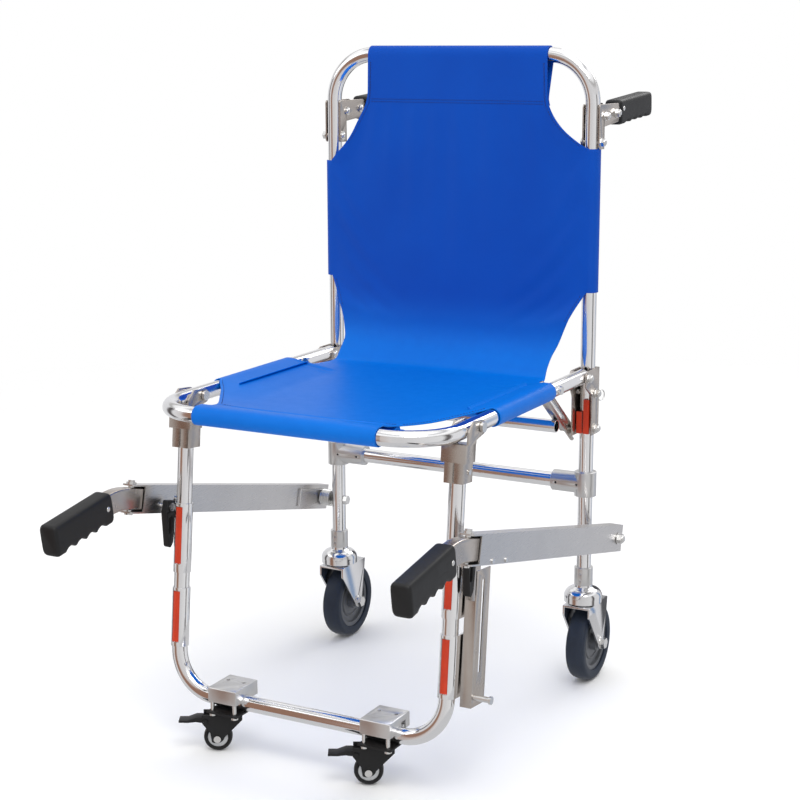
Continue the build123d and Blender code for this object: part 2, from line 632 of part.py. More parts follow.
def front_casters():
    """Black fork, axle bolt, wheel centre, tyre and brake pedal of each front caster."""
    cheek_in = FRONT_TYRE_W / 2 + 2
    cheek_out = cheek_in + 2
    for name, side in SIDES:
        yaw = Plane(origin=(side * CASTER_X, BAR_Y, 0)).rotated((0, 0, -FRONT_YAW))
        hub_at = (0, -FRONT_TRAIL, FRONT_AXLE_Z)
        with BuildPart(yaw) as fork:
            for cheek in (-1, 1):
                with BuildSketch(yaw * Plane(origin=(cheek * (cheek_in + 1), 0, 0), x_dir=(0, 1, 0),
                                             z_dir=(1, 0, 0))):
                    with BuildLine():
                        Polyline((-41, FORK_TOP), (15, FORK_TOP), (15, FORK_TOP - 7),
                                 (-FRONT_TRAIL + 10, FRONT_AXLE_Z + 2))
                        RadiusArc((-FRONT_TRAIL + 10, FRONT_AXLE_Z + 2),
                                  (-FRONT_TRAIL - 8, FRONT_AXLE_Z - 5), 12)
                        Polyline((-FRONT_TRAIL - 8, FRONT_AXLE_Z - 5), (-FRONT_TRAIL - 10, FRONT_AXLE_Z + 8),
                                 (-41, FORK_TOP - 12), (-41, FORK_TOP))
                    make_face()
                extrude(amount=1, both=True)
            block((-cheek_in, cheek_in), (-16, 15), (FORK_TOP - 2, FORK_TOP))
            rod(4 + RUN, 20, (0, 0, FORK_TOP), mode=Mode.SUBTRACT)
            rod(3 + SNUG, 60, hub_at, "X", mode=Mode.SUBTRACT)
            rod(2 + RUN, 60, (0, *PEDAL_PIVOT), "X", mode=Mode.SUBTRACT)
        save(fork, f"front_fork_{name}")
        with BuildPart(yaw) as axle:
            rod(3, 2 * cheek_out, hub_at, "X")
            for end in (-1, 1):
                rod(5, 3.5, (end * (cheek_out + 1.75), *hub_at[1:]), "X")
        save(axle, f"front_axle_{name}")
        with BuildPart(yaw) as hub:
            rod(14, 10, hub_at, "X")
            rod(6, FRONT_TYRE_W + 2, hub_at, "X")
            rod(3 + RUN, 30, hub_at, "X", mode=Mode.SUBTRACT)
        save(hub, f"front_hub_{name}")
        with BuildPart(yaw) as tyre:
            rod(FRONT_WHEEL_D / 2, FRONT_TYRE_W, hub_at, "X")
            fillet(tyre.edges().filter_by(GeomType.CIRCLE), 3)
            rod(14 + SNUG, 30, hub_at, "X", mode=Mode.SUBTRACT)
        save(tyre, f"front_tyre_{name}")
        with BuildPart(yaw) as pedal:
            with BuildSketch(yaw * Plane(origin=(0, 0, 0), x_dir=(0, 1, 0), z_dir=(1, 0, 0))):
                with BuildLine():
                    Polyline((-31, 47.4), (-43, 50), (-50, 50), (-62, 45.5), (-74, 45.5),
                             (-74, 42.5), (-61, 42.3), (-50, 43.5), (-44, 42.5), (-31, 42.5), close=True)
                make_face()
            extrude(amount=cheek_in - GAP, both=True)
            rod(2, 2 * cheek_out, (0, *PEDAL_PIVOT), "X")
            for end in (-1, 1):
                rod(3.2, 1.4, (end * (cheek_out + GAP + 0.7), *PEDAL_PIVOT), "X")
                rod(2, GAP, (end * (cheek_out + GAP / 2), *PEDAL_PIVOT), "X")
        save(pedal, f"brake_pedal_{name}")


# ---------------------------------------------------------------- carrying beams
BEAM_W = 22.0
BEAM_H = 40.0
BEAM_T = 2.2
BEAM_FRONT = 491.0          # front edge of the side walls, along the beam from its bolt
BEAM_REAR = 18.0
LIP = 27.0                  # how far the top and bottom walls run on past the side walls
HANDLE_PIN = BEAM_FRONT + 19
PIN_R = 4.0
LATCH_AT = (-449.0, -9.0)   # latch bolt, on BEAM
LATCH_BOLT_R = 3.0
SLIDE_AT = -404.0 / cos(slope)


def beams():
    for name, side in SIDES:
        x = side * BEAM_HALF
        half_w, half_h = BEAM_W / 2, BEAM_H / 2
        inner = side * (BEAM_HALF - half_w)
        with BuildPart(BEAM) as beam:
            block((x - half_w, x + half_w), (-BEAM_FRONT - LIP, BEAM_REAR), (-half_h, half_h))
            block((x - half_w + BEAM_T, x + half_w - BEAM_T), (-BEAM_FRONT - LIP - 1, BEAM_REAR + 1),
                  (-half_h + BEAM_T, half_h - BEAM_T), mode=Mode.SUBTRACT)
            block((x - half_w - 1, x + half_w + 1), (-BEAM_FRONT - LIP - 1, -BEAM_FRONT),
                  (-half_h + BEAM_T, half_h - BEAM_T), mode=Mode.SUBTRACT)
            rod(BEAM_BOLT_R + RUN, 40, (x, 0, 0), "X", mode=Mode.SUBTRACT)
            rod(PIN_R + SNUG, 60, (x, -HANDLE_PIN, 0), mode=Mode.SUBTRACT)
            rod(LATCH_BOLT_R + SNUG, 10, (inner, *LATCH_AT), "X", mode=Mode.SUBTRACT)
            lips = beam.edges().filter_by(lambda e: abs(e.length - BEAM_T) < 0.01)
            fillet([e for e in lips if BEAM.to_local_coords(e.center()).Y < -BEAM_FRONT - LIP + 1], 5)
        save(beam, f"beam_{name}")


def beam_bolts():
    """Pivot bolts that hold the beams to the posts."""
    start = HALF_WIDTH - TUBE_R
    end = BEAM_HALF + BEAM_W / 2 + GAP
    with BuildPart() as bolts:
        for _, side in SIDES:
            rod(BEAM_BOLT_R, end - start, (side * (start + end) / 2, 0, BEAM_PIVOT_Z), "X")
            hex_head(side * start, 0, BEAM_PIVOT_Z, 13, 6, -side)
            rod(9, 1.2, (side * (end + 0.6), 0, BEAM_PIVOT_Z), "X")
            hex_head(side * (end + 1.2), 0, BEAM_PIVOT_Z, 13, 6, side)
    save(bolts, "beam_pivot_bolts")


def beam_springs():
    """Torsion springs between post and beam; the free wire runs along the beam."""
    gap = (HALF_WIDTH + TUBE_R, BEAM_HALF - BEAM_W / 2)
    for name, side in SIDES:
        with BuildPart(BEAM) as spring:
            for turn in range(6):
                x = side * (gap[0] + 3.2 + turn * 2.9)
                with Locations(Location((x, 0, 0), (0, 90, 0))):
                    Torus(12.2, 1.35)
            rod(1.35, 74, (side * (gap[1] - 2.6), -37, 12.2), "Y")
            rod(1.35, 27, (side * (gap[1] - 2.6), -74, -0.4), "Z")
            with Locations((side * (gap[1] - 2.6), -74, 12.2), (side * (gap[1] - 2.6), -74, -13.9)):
                Sphere(1.35)
        save(spring, f"beam_spring_{name}")


def beam_hardware():
    """Handle pin, latch bolt, guide stud and screws of each beam."""
    for name, side in SIDES:
        x = side * BEAM_HALF
        inner, outer = side * (BEAM_HALF - BEAM_W / 2), side * (BEAM_HALF + BEAM_W / 2)
        with BuildPart(BEAM) as fittings:
            rod(PIN_R, BEAM_H + 2, (x, -HANDLE_PIN, 1))
            rod(7, 3, (x, -HANDLE_PIN, BEAM_H / 2 + 1.5))
            rod(5, 2.6, (x, -HANDLE_PIN, BEAM_H / 2 + 4.3))
            rod(6, 2.5, (x, -HANDLE_PIN, -BEAM_H / 2 - 1.25))
            reach = 17.5
            rod(LATCH_BOLT_R, reach + BEAM_T, (inner - side * (reach - BEAM_T) / 2, *LATCH_AT), "X")
            rod(6, 1.5, (inner - side * (reach + 0.75), *LATCH_AT), "X")
            rod(5, 3, (inner + side * (BEAM_T + 1.5), *LATCH_AT), "X")
            rod(4, 2, (inner - side * 1.0, SLIDE_AT, 0), "X")
            for y in (-452, -410):
                rod(3.4, 1.6, (outer + side * 0.8, y, -BEAM_H / 2 + 4.5), "X")
        save(fittings, f"beam_fittings_{name}")


def latches():
    """V shaped latch lever inboard of each beam, sprung on its bolt."""
    for name, side in SIDES:
        inner = BEAM_HALF - BEAM_W / 2
        x = span(side, inner - 17.0, inner - 7.5)
        mid = sum(x) / 2
        plane = BEAM * Plane(origin=(mid, LATCH_AT[0], LATCH_AT[1]), x_dir=(0, 1, 0), z_dir=(1, 0, 0))
        with BuildPart() as lever:
            with BuildSketch(plane) as outline:
                with BuildLine():
                    Polyline((-9, 9), (9, 9), (13, -4), (14, -50), (9, -58), (4, -56), (-10, -10), close=True)
                make_face()
                fillet(outline.vertices(), 2)
                Circle(LATCH_BOLT_R + RUN, mode=Mode.SUBTRACT)
            extrude(amount=(x[1] - x[0]) / 2, both=True)
            with BuildSketch(plane):
                with Locations((2, -26)):
                    SlotOverall(24, 7, rotation=98)
            extrude(amount=x[1] - x[0], both=True, mode=Mode.SUBTRACT)
        save(lever, f"latch_lever_{name}")


# ---------------------------------------------------------------- front handles
ARM_W = 18.0
ARM_H = 31.0
GRIP_DOWN = 22.0            # degrees, grip below the beam's own line


def front_handles():
    """Bent rectangular arms with moulded grips, hinged on a pin across the beam's front."""
    drop = radians(GRIP_DOWN)
    bend_r = 110.0
    straight = 12.0
    for name, side in SIDES:
        x = side * BEAM_HALF
        start = -HANDLE_PIN + 17
        bend = -HANDLE_PIN - straight
        end = (bend - bend_r * sin(drop), -bend_r * (1 - cos(drop)))
        grip_dir = (-cos(drop), -sin(drop))
        tip = (end[0] + grip_dir[0] * 100, end[1] + grip_dir[1] * 100)
        side_plane = BEAM * Plane(origin=(x, 0, 0), x_dir=(0, 1, 0), z_dir=(1, 0, 0))
        with BuildPart(BEAM) as arm:
            with BuildLine(side_plane):
                Line((start, 0), (bend, 0))
                RadiusArc((bend, 0), end, -bend_r)
                Line(end, tip)
            with BuildSketch(BEAM * Plane(origin=(x, start, 0), x_dir=(1, 0, 0), z_dir=(0, -1, 0))):
                RectangleRounded(ARM_W, ARM_H, 3)
                RectangleRounded(ARM_W - 4, ARM_H - 4, 1.5, mode=Mode.SUBTRACT)
            sweep()
            rod(PIN_R + RUN, 60, (x, -HANDLE_PIN, 0), mode=Mode.SUBTRACT)
        save(arm, f"front_handle_arm_{name}")
        grip_plane = Plane(BEAM * Plane(origin=(x, *end), x_dir=(0, *grip_dir), z_dir=(1, 0, 0)))
        up = 1 if grip_plane.y_dir.Z > 0 else -1
        with BuildPart() as grip:
            with BuildSketch(grip_plane):
                with BuildLine():
                    Polyline((2, up * 21), (128, up * 20), (130, up * 16), (116, -up * 22), (108, -up * 25))
                    Polyline((108, -up * 25), (98, -up * 23))
                    for k in range(4):
                        RadiusArc((98 - k * 20, -up * 23), (78 - k * 20, -up * 23), up * 16)
                    Polyline((18, -up * 23), (6, -up * 24), (-2, -up * 19), (2, up * 21))
                make_face()
            extrude(amount=14, both=True)
            chamfer(grip.edges().filter_by(lambda e: e.length > 120), 4)
            with BuildSketch(grip_plane):
                with Locations((50 - 3, 0)):
                    Rectangle(106 + 2 * SNUG, ARM_H + 2 * SNUG)
            extrude(amount=ARM_W / 2 + SNUG, both=True, mode=Mode.SUBTRACT)
            for end_x in (-1, 1):
                with BuildSketch(grip_plane.offset(end_x * 14)):
                    with Locations((12, 0)):
                        Circle(3.6)
                extrude(amount=end_x * 1.0)
        save(grip, f"front_grip_{name}")


# ---------------------------------------------------------------- cover
COVER_T = 2.0
SLEEVE_X = 145.0            # half the top sleeve's width
SHOULDER_X = HALF_WIDTH + TUBE_R + GAP + COVER_T
CREASE_X = 176.0
BACK_Y = -TUBE_R - GAP - COVER_T / 2       # middle of the back panel's thickness


def back_cover():
    """Back panel with a sleeve over the top bar and side wraps round the posts."""
    sleeve_r = TUBE_R + GAP
    with BuildPart() as cover:
        with BuildSketch(Plane.XZ.offset(-BACK_Y)) as panel:
            with BuildLine():
                Polyline((-SLEEVE_X, 880), (-SLEEVE_X, BACK_HEIGHT), (SLEEVE_X, BACK_HEIGHT), (SLEEVE_X, 880))
                ThreePointArc((SLEEVE_X, 880), (172, 836), (SHOULDER_X - 14, 812))
                Line((SHOULDER_X - 14, 812), (SHOULDER_X - 14, 606))
                ThreePointArc((SHOULDER_X - 14, 606), (190, 565), (CREASE_X, 515))
                Line((CREASE_X, 515), (-CREASE_X, 515))
                ThreePointArc((-CREASE_X, 515), (-190, 565), (-SHOULDER_X + 14, 606))
                Line((-SHOULDER_X + 14, 606), (-SHOULDER_X + 14, 812))
                ThreePointArc((-SHOULDER_X + 14, 812), (-172, 836), (-SLEEVE_X, 880))
            make_face()
        extrude(amount=COVER_T / 2, both=True)
        rod(sleeve_r + COVER_T, 2 * SLEEVE_X, (0, 0, BACK_HEIGHT), "X", hollow=sleeve_r)
        block((-SLEEVE_X, SLEEVE_X), (sleeve_r, sleeve_r + COVER_T), (884, BACK_HEIGHT))
        for _, side in SIDES:
            rod(sleeve_r + COVER_T, 206, (side * HALF_WIDTH, 0, 709), hollow=sleeve_r)
            rod(sleeve_r, 210, (side * HALF_WIDTH, 0, 709), mode=Mode.SUBTRACT)
        rod(sleeve_r, 2 * SLEEVE_X + 2, (0, 0, BACK_HEIGHT), "X", mode=Mode.SUBTRACT)
    save(cover, "back_cover")


def seat_cover():
    """Seat panel with sleeves over the front bar and the side tubes."""
    sleeve_r = TUBE_R + GAP
    top = SEAT_HEIGHT + sleeve_r + COVER_T / 2
    side_y = (-338.0, -148.0)
    edge_x = HALF_WIDTH
    front_x = 138.0
    with BuildPart() as cover:
        with BuildSketch(Plane.XY.offset(top)):
            with BuildLine():
                Polyline((-front_x, -440), (-front_x, SEAT_FRONT), (front_x, SEAT_FRONT), (front_x, -440))
                ThreePointArc((front_x, -440), (168, -400), (edge_x, side_y[0]))
                Line((edge_x, side_y[0]), (edge_x, side_y[1]))
                ThreePointArc((edge_x, side_y[1]), (188, -100), (CREASE_X, -48))
                Line((CREASE_X, -48), (-CREASE_X, -48))
                ThreePointArc((-CREASE_X, -48), (-188, -100), (-edge_x, side_y[1]))
                Line((-edge_x, side_y[1]), (-edge_x, side_y[0]))
                ThreePointArc((-edge_x, side_y[0]), (-168, -400), (-front_x, -440))
            make_face()
        extrude(amount=COVER_T / 2, both=True)
        rod(sleeve_r + COVER_T, 2 * front_x, (0, SEAT_FRONT, SEAT_HEIGHT), "X")
        length, middle = side_y[1] - side_y[0], sum(side_y) / 2
        for _, side in SIDES:
            rod(sleeve_r + COVER_T, length, (side * HALF_WIDTH, middle, SEAT_HEIGHT), "Y")
        for _, side in SIDES:
            rod(sleeve_r, length + 2, (side * HALF_WIDTH, middle, SEAT_HEIGHT), "Y", mode=Mode.SUBTRACT)
        rod(sleeve_r, 2 * front_x + 2, (0, SEAT_FRONT, SEAT_HEIGHT), "X", mode=Mode.SUBTRACT)
    save(cover, "seat_cover")


back_tube()
t_fittings()
rear_cross_tube()
hinge_brackets()
frame_bolts()
hinge_liners()
rear_handle_brackets()
rear_handles()
caster_sleeves()
caster_heads()
rear_casters()
seat_frame()
seat_bolts()
lock_braces()
lock_bar()
leg_frame()
leg_brackets()
leg_clamps()
leg_liners()
leg_channel()
stow_pin()
leg_rivets()
caster_blocks()
caster_bolts()
caster_plates()
front_casters()
beams()
beam_bolts()
beam_springs()
beam_hardware()
latches()
front_handles()
back_cover()
seat_cover()
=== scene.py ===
"""Looks of the stair chair: finishes for its frame, the blue sling and the moulded pieces."""
import json
import math

import bmesh
import bpy
import numpy as np
from mathutils import Matrix, Vector
from mathutils.bvhtree import BVHTree


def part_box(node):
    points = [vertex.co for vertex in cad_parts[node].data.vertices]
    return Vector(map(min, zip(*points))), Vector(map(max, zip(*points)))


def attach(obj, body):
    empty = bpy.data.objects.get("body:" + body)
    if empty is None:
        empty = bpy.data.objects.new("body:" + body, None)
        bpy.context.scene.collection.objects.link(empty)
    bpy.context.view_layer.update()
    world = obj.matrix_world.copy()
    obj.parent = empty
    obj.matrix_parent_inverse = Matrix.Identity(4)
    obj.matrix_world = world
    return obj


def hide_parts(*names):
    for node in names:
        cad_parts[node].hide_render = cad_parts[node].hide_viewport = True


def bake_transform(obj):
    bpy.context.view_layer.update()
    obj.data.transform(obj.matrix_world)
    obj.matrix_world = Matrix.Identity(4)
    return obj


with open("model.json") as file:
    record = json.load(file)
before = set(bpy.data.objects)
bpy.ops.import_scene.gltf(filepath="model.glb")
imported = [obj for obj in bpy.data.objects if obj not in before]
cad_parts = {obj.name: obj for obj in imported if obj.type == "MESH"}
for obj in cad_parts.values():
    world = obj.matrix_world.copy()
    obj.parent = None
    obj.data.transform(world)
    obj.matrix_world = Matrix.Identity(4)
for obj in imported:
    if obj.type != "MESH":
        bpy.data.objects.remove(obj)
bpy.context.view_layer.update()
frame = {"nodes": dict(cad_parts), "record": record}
MM = 0.001
SIDES = (("left", -1), ("right", 1))


# ------------------------------------------------------------------ shader maths
class Wire:
    """A shader socket that takes part in arithmetic."""

    def __init__(self, paint, socket):
        self.paint, self.socket = paint, socket

    def join(self, operation, *others, clamp=False):
        return self.paint.add("ShaderNodeMath", {"operation": operation, "use_clamp": clamp},
                              {i: v for i, v in enumerate((self,) + others)})

    def __add__(self, other):
        return self.join("ADD", other)

    def __mul__(self, other):
        return self.join("MULTIPLY", other)



class Paint:
    """A material under construction."""

    def __init__(self, name, **fixed):
        self.material = bpy.data.materials.new(name)
        self.material.use_nodes = True
        self.tree = self.material.node_tree
        self.skin = self.tree.nodes["Principled BSDF"]
        for socket, setting in fixed.items():
            self.skin.inputs[socket.replace("_", " ")].default_value = setting
        self.place = self.add("ShaderNodeTexCoord", {}, {}, "Object")

    def add(self, kind, settings, sockets, out=0):
        node = self.tree.nodes.new(kind)
        for key, setting in settings.items():
            if key == "stops":
                self.set_stops(node, setting)
            else:
                setattr(node, key, setting)
        for key, given in sockets.items():
            if isinstance(given, Wire):
                self.tree.links.new(given.socket, node.inputs[key])
            else:
                node.inputs[key].default_value = given
        return Wire(self, node.outputs[out])

    @staticmethod
    def set_stops(node, stops):
        ramp = node.color_ramp
        while len(ramp.elements) < len(stops):
            ramp.elements.new(0.5)
        for element, (at, colour) in zip(ramp.elements, stops):
            element.position = at
            element.color = (*colour, 1) if len(colour) == 3 else colour

    def stretched(self, scale, turn=(0, 0, 0)):
        return self.add("ShaderNodeMapping", {}, {"Vector": self.place, "Scale": scale, "Rotation": turn})

    def noise(self, scale, detail=2.0, rough=0.5, along=None):
        return self.add("ShaderNodeTexNoise", {},
                        {"Vector": along or self.place, "Scale": scale, "Detail": detail, "Roughness": rough})

    def ramp(self, factor, *stops):
        return self.add("ShaderNodeValToRGB", {"stops": stops}, {"Fac": factor})

    def mix(self, factor, first, second, blend="MIX"):
        def colour(c):
            return c if isinstance(c, Wire) else (*c, 1)
        return self.add("ShaderNodeMix", {"data_type": "RGBA", "blend_type": blend},
                        {0: factor, 6: colour(first), 7: colour(second)}, 2)

    def between(self, factor, low, high):
        return self.add("ShaderNodeMapRange", {}, {"Value": factor, "To Min": low, "To Max": high})

    def bump(self, height, strength, depth, under=None):
        sockets = {"Height": height, "Strength": strength, "Distance": depth}
        if under:
            sockets["Normal"] = under
        return self.add("ShaderNodeBump", {}, sockets)

    def finish(self, colour=None, rough=None, normal=None):
        for socket, wire in (("Base Color", colour), ("Roughness", rough), ("Normal", normal)):
            if wire is not None:
                self.tree.links.new(wire.socket, self.skin.inputs[socket])
        return self.material


def polished_tube():
    """Mirror polished aluminium, with faint drawing lines and finger smudges."""
    p = Paint("polished_tube", Metallic=1.0)
    smudge = p.noise(34, 4, 0.6)
    lines = p.noise(900, 2, 0.6, p.stretched((1, 1, 0.03)))
    colour = p.mix(p.between(smudge, 0.0, 0.35), (0.90, 0.90, 0.91), (0.78, 0.775, 0.78))
    rough = p.between(smudge, 0.05, 0.15) + lines * 0.03
    return p.finish(colour, rough, p.bump(lines, 0.06, 0.0004))


def plate(name, light, dark, rough_low, rough_high):
    """Plated steel sheet, duller where it is handled."""
    p = Paint(name, Metallic=1.0)
    cloud = p.noise(28, 5, 0.62)
    grain = p.noise(1400, 2, 0.5, p.stretched((1, 1, 0.12)))
    colour = p.mix(p.between(cloud, 0.1, 0.9), light, dark)
    rough = p.between(cloud, rough_low, rough_high) + grain * 0.05
    return p.finish(colour, rough, p.bump(grain, 0.10, 0.0003))


def cast_alloy():
    """Tumbled cast aluminium: bright, with a fine uneven skin."""
    p = Paint("cast_alloy", Metallic=1.0)
    skin = p.noise(420, 4, 0.6)
    cloud = p.noise(30, 3, 0.5)
    colour = p.mix(cloud, (0.76, 0.755, 0.75), (0.58, 0.575, 0.57))
    rough = p.between(skin, 0.22, 0.42)
    return p.finish(colour, rough, p.bump(skin, 0.25, 0.0006))


def beam_alloy():
    """Brushed anodised beam, its lines along the beam."""
    p = Paint("beam_alloy", Metallic=1.0)
    along = p.stretched((1, 0.02, 1), (math.radians(13.1), 0, 0))
    lines = p.noise(1300, 3, 0.6, along)
    cloud = p.noise(16, 4, 0.6)
    colour = p.mix(p.between(cloud, 0.2, 0.8), (0.70, 0.685, 0.675), (0.55, 0.535, 0.525))
    rough = p.between(lines, 0.22, 0.36)
    return p.finish(colour, rough, p.bump(lines, 0.12, 0.0003))


def moulded(name, colour_a, colour_b, rough_a, rough_b, grain_size=900, grain_depth=0.2):
    """Moulded plastic or rubber with a fine grain and slight scuffs."""
    p = Paint(name, Specular_IOR_Level=0.35)
    cloud = p.noise(40, 5, 0.65)
    grain = p.add("ShaderNodeTexVoronoi", {"feature": "F1"},
                  {"Vector": p.place, "Scale": grain_size}, "Distance")
    scuff = p.ramp(p.noise(150, 6, 0.7, p.stretched((1, 0.25, 1))), (0.56, (0, 0, 0)), (0.75, (1, 1, 1)))
    colour = p.mix(p.between(cloud, 0, 1), colour_a, colour_b)
    rough = p.between(cloud, rough_a, rough_b) + scuff * 0.10
    return p.finish(colour, rough, p.bump(grain, grain_depth, 0.0003))


def coated_cloth():
    """Blue coated cloth with a leather grain; painted light makes the seat paler and painted shade makes the
    upright back darker.
    """
    p = Paint("blue_cover", Specular_IOR_Level=0.12)
    cells = p.add("ShaderNodeTexVoronoi", {"feature": "DISTANCE_TO_EDGE"},
                  {"Vector": p.place, "Scale": 700}, "Distance")
    pores = p.noise(2200, 3, 0.6)
    drift = p.noise(5.5, 3, 0.5)
    mottle = p.noise(60, 5, 0.65)
    height = p.add("ShaderNodeSeparateXYZ", {}, {"Vector": p.place}, "Z")
    # Painted light and shade by height: below 0.49 m (the seat) the colour is painted paler, above 0.60 m
    # (the upright back) darker.
    painted_seat_light = p.add("ShaderNodeMapRange", {"interpolation_type": "SMOOTHSTEP"},
                     {"Value": height, "From Min": 0.60, "From Max": 0.49})
    # Each random tone has a painted-shade copy for the back and a painted-light copy for the seat.
    fresh_with_painted_light = p.mix(painted_seat_light, (0.0, 0.082, 0.50), (0.0, 0.185, 0.74))
    worn_with_painted_light = p.mix(painted_seat_light, (0.0, 0.056, 0.40), (0.0, 0.150, 0.64))
    colour = p.mix(p.between(drift, -0.2, 1.2), worn_with_painted_light, fresh_with_painted_light)
    colour = p.mix(p.between(mottle, 0.0, 0.22), colour, (0.0, 0.050, 0.36))
    rough = p.between(mottle, 0.34, 0.46) + pores * 0.05
    creases = p.noise(26, 4, 0.6, p.stretched((1, 1, 0.6)))
    normal = p.bump(creases, 0.10, 0.002)
    normal = p.bump(cells + pores * 0.4, 0.16, 0.0004, normal)
    return p.finish(colour, rough, normal)


def thread():
    """Twisted sewing thread."""
    p = Paint("blue_thread")
    twist = p.add("ShaderNodeTexWave", {"bands_direction": "DIAGONAL"}, {"Vector": p.place, "Scale": 900}, 1)
    colour = p.mix(twist, (0.0, 0.010, 0.10), (0.0, 0.028, 0.22))
    return p.finish(colour, p.between(twist, 0.55, 0.75))


FINISH = {
    "polished_tube": polished_tube(),
    "satin_alloy": cast_alloy(),
    "nickel_plate": plate("nickel_plate", (0.60, 0.56, 0.52), (0.44, 0.39, 0.35), 0.16, 0.30),
    "chrome_plate": plate("chrome_plate", (0.86, 0.86, 0.87), (0.70, 0.70, 0.71), 0.04, 0.13),
    "zinc_steel": plate("zinc_steel", (0.84, 0.84, 0.83), (0.62, 0.61, 0.60), 0.12, 0.28),
    "black_plastic": moulded("black_plastic", (0.005, 0.005, 0.0055), (0.011, 0.011, 0.012), 0.40, 0.58),
    "red_plastic": moulded("red_plastic", (0.72, 0.060, 0.014), (0.40, 0.018, 0.006), 0.22, 0.40, 1200, 0.1),
    "blue_cover": coated_cloth(),
    "blue_tyre": moulded("blue_tyre", (0.010, 0.017, 0.034), (0.022, 0.032, 0.052), 0.42, 0.62, 700, 0.25),
    "grey_hub": moulded("grey_hub", (0.085, 0.092, 0.105), (0.15, 0.155, 0.165), 0.35, 0.5, 800, 0.15),
    "white_rim": moulded("white_rim", (0.70, 0.71, 0.72), (0.55, 0.56, 0.57), 0.28, 0.42, 900, 0.08),
}
BEAM_FINISH = beam_alloy()
THREAD = thread()

record_slots = {row["node"]: row["material_slot"] for row in frame["record"]["subparts"]}
for node, obj in frame["nodes"].items():
    finish = BEAM_FINISH if node in ("beam_left", "beam_right") else FINISH[record_slots[node]]
    for holder in obj.material_slots:
        holder.material = finish
frame["nodes"]["leg_clamps"].material_slots[0].material = FINISH["polished_tube"]
BODY_OF = {n: b for b, nodes in frame["record"]["behaviour"]["bodies"].items() for n in nodes}


# ------------------------------------------------------------------ mesh helpers
def new_piece(name, points, faces, finish, smooth=True):
    mesh = bpy.data.meshes.new(name)
    mesh.from_pydata([tuple(p) for p in points], [], faces)
    mesh.materials.append(finish)
    mesh.validate()
    obj = bpy.data.objects.new(name, mesh)
    bpy.context.scene.collection.objects.link(obj)
    if smooth:
        mesh.shade_smooth()
    return obj


def bake_down(obj):
    """Turns an object with modifiers into its finished mesh."""
    depsgraph = bpy.context.evaluated_depsgraph_get()
    mesh = bpy.data.meshes.new_from_object(obj.evaluated_get(depsgraph), depsgraph=depsgraph)
    obj.modifiers.clear()
    obj.data = mesh
    return obj


def outward(obj):
    """Turns a mesh's faces to point outwards."""
    work = bmesh.new()
    work.from_mesh(obj.data)
    bmesh.ops.remove_doubles(work, verts=work.verts, dist=1e-6)
    bmesh.ops.recalc_face_normals(work, faces=work.faces)
    work.to_mesh(obj.data)
    work.free()
    return obj


def softened(node, width, segments=2, angle=32, name=None):
    """Copy of a hard edged node with its edges rounded over, which stands for it."""
    source = frame["nodes"][node]
    obj = bpy.data.objects.new(name or f"{node}_soft", source.data.copy())
    bpy.context.scene.collection.objects.link(obj)
    work = bmesh.new()
    work.from_mesh(obj.data)
    bmesh.ops.remove_doubles(work, verts=work.verts, dist=2e-6)
    bmesh.ops.dissolve_limit(work, angle_limit=math.radians(0.6), verts=work.verts, edges=work.edges)
    work.to_mesh(obj.data)
    work.free()
    bevel = obj.modifiers.new("round", "BEVEL")
    bevel.width, bevel.segments = width, segments
    bevel.limit_method, bevel.angle_limit = "ANGLE", math.radians(angle)
    bevel.use_clamp_overlap = True
    bake_down(obj)
    obj.data.shade_smooth()
    obj.data.set_sharp_from_angle(angle=math.radians(40))
    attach(obj, BODY_OF[node])
    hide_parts(node)
    return obj


def loft(rings, closed=True, caps=True):
    """Points and faces of a skin over equal rings of points."""
    count = len(rings[0])
    points = [p for ring in rings for p in ring]
    faces = []
    for i in range(len(rings) - 1):
        for j in range(count if closed else count - 1):
            k = (j + 1) % count
            faces.append((i * count + j, i * count + k, (i + 1) * count + k, (i + 1) * count + j))
    if caps:
        faces.append(tuple(range(count - 1, -1, -1)))
        faces.append(tuple((len(rings) - 1) * count + j for j in range(count)))
    return points, faces


# ------------------------------------------------------------------ geometry trees
class Growth:
    """A geometry tree under construction, with named inputs for its sizes."""

    def __init__(self, name, **inputs):
        self.tree = bpy.data.node_groups.new(name, "GeometryNodeTree")
        self.tree.interface.new_socket("Geometry", in_out="INPUT", socket_type="NodeSocketGeometry")
        self.tree.interface.new_socket("Geometry", in_out="OUTPUT", socket_type="NodeSocketGeometry")
        for key, start in inputs.items():
            kind = "NodeSocketInt" if isinstance(start, int) else "NodeSocketFloat"
            socket = self.tree.interface.new_socket(key, in_out="INPUT", socket_type=kind)
            socket.default_value = start
        self.given = self.tree.nodes.new("NodeGroupInput")
        self.result = self.tree.nodes.new("NodeGroupOutput")

    def size(self, name):
        return self.given.outputs[name]

    def add(self, kind, settings, sockets, out=0):
        node = self.tree.nodes.new(kind)
        for key, setting in settings.items():
            setattr(node, key, setting)
        for key, given in sockets.items():
            if isinstance(given, bpy.types.NodeSocket):
                self.tree.links.new(given, node.inputs[key])
            else:
                node.inputs[key].default_value = given
        return node.outputs[out]

    def vector(self, x, y, z):
        return self.add("ShaderNodeCombineXYZ", {}, {"X": x, "Y": y, "Z": z})

    def close(self, geometry, finish):
        real = self.add("GeometryNodeRealizeInstances", {}, {"Geometry": geometry})
        painted = self.add("GeometryNodeSetMaterial", {}, {"Geometry": real, "Material": finish})
        smooth = self.add("GeometryNodeSetShadeSmooth", {}, {0: painted, "Shade Smooth": True})
        self.tree.links.new(smooth, self.result.inputs[0])
        return self

    def grow(self, obj, **sizes):
        """Runs the tree on an object, and leaves its plain mesh."""
        modifier = obj.modifiers.new("growth", "NODES")
        modifier.node_group = self.tree
        for key, setting in sizes.items():
            modifier[self.tree.interface.items_tree[key].identifier] = setting
        return bake_down(obj)


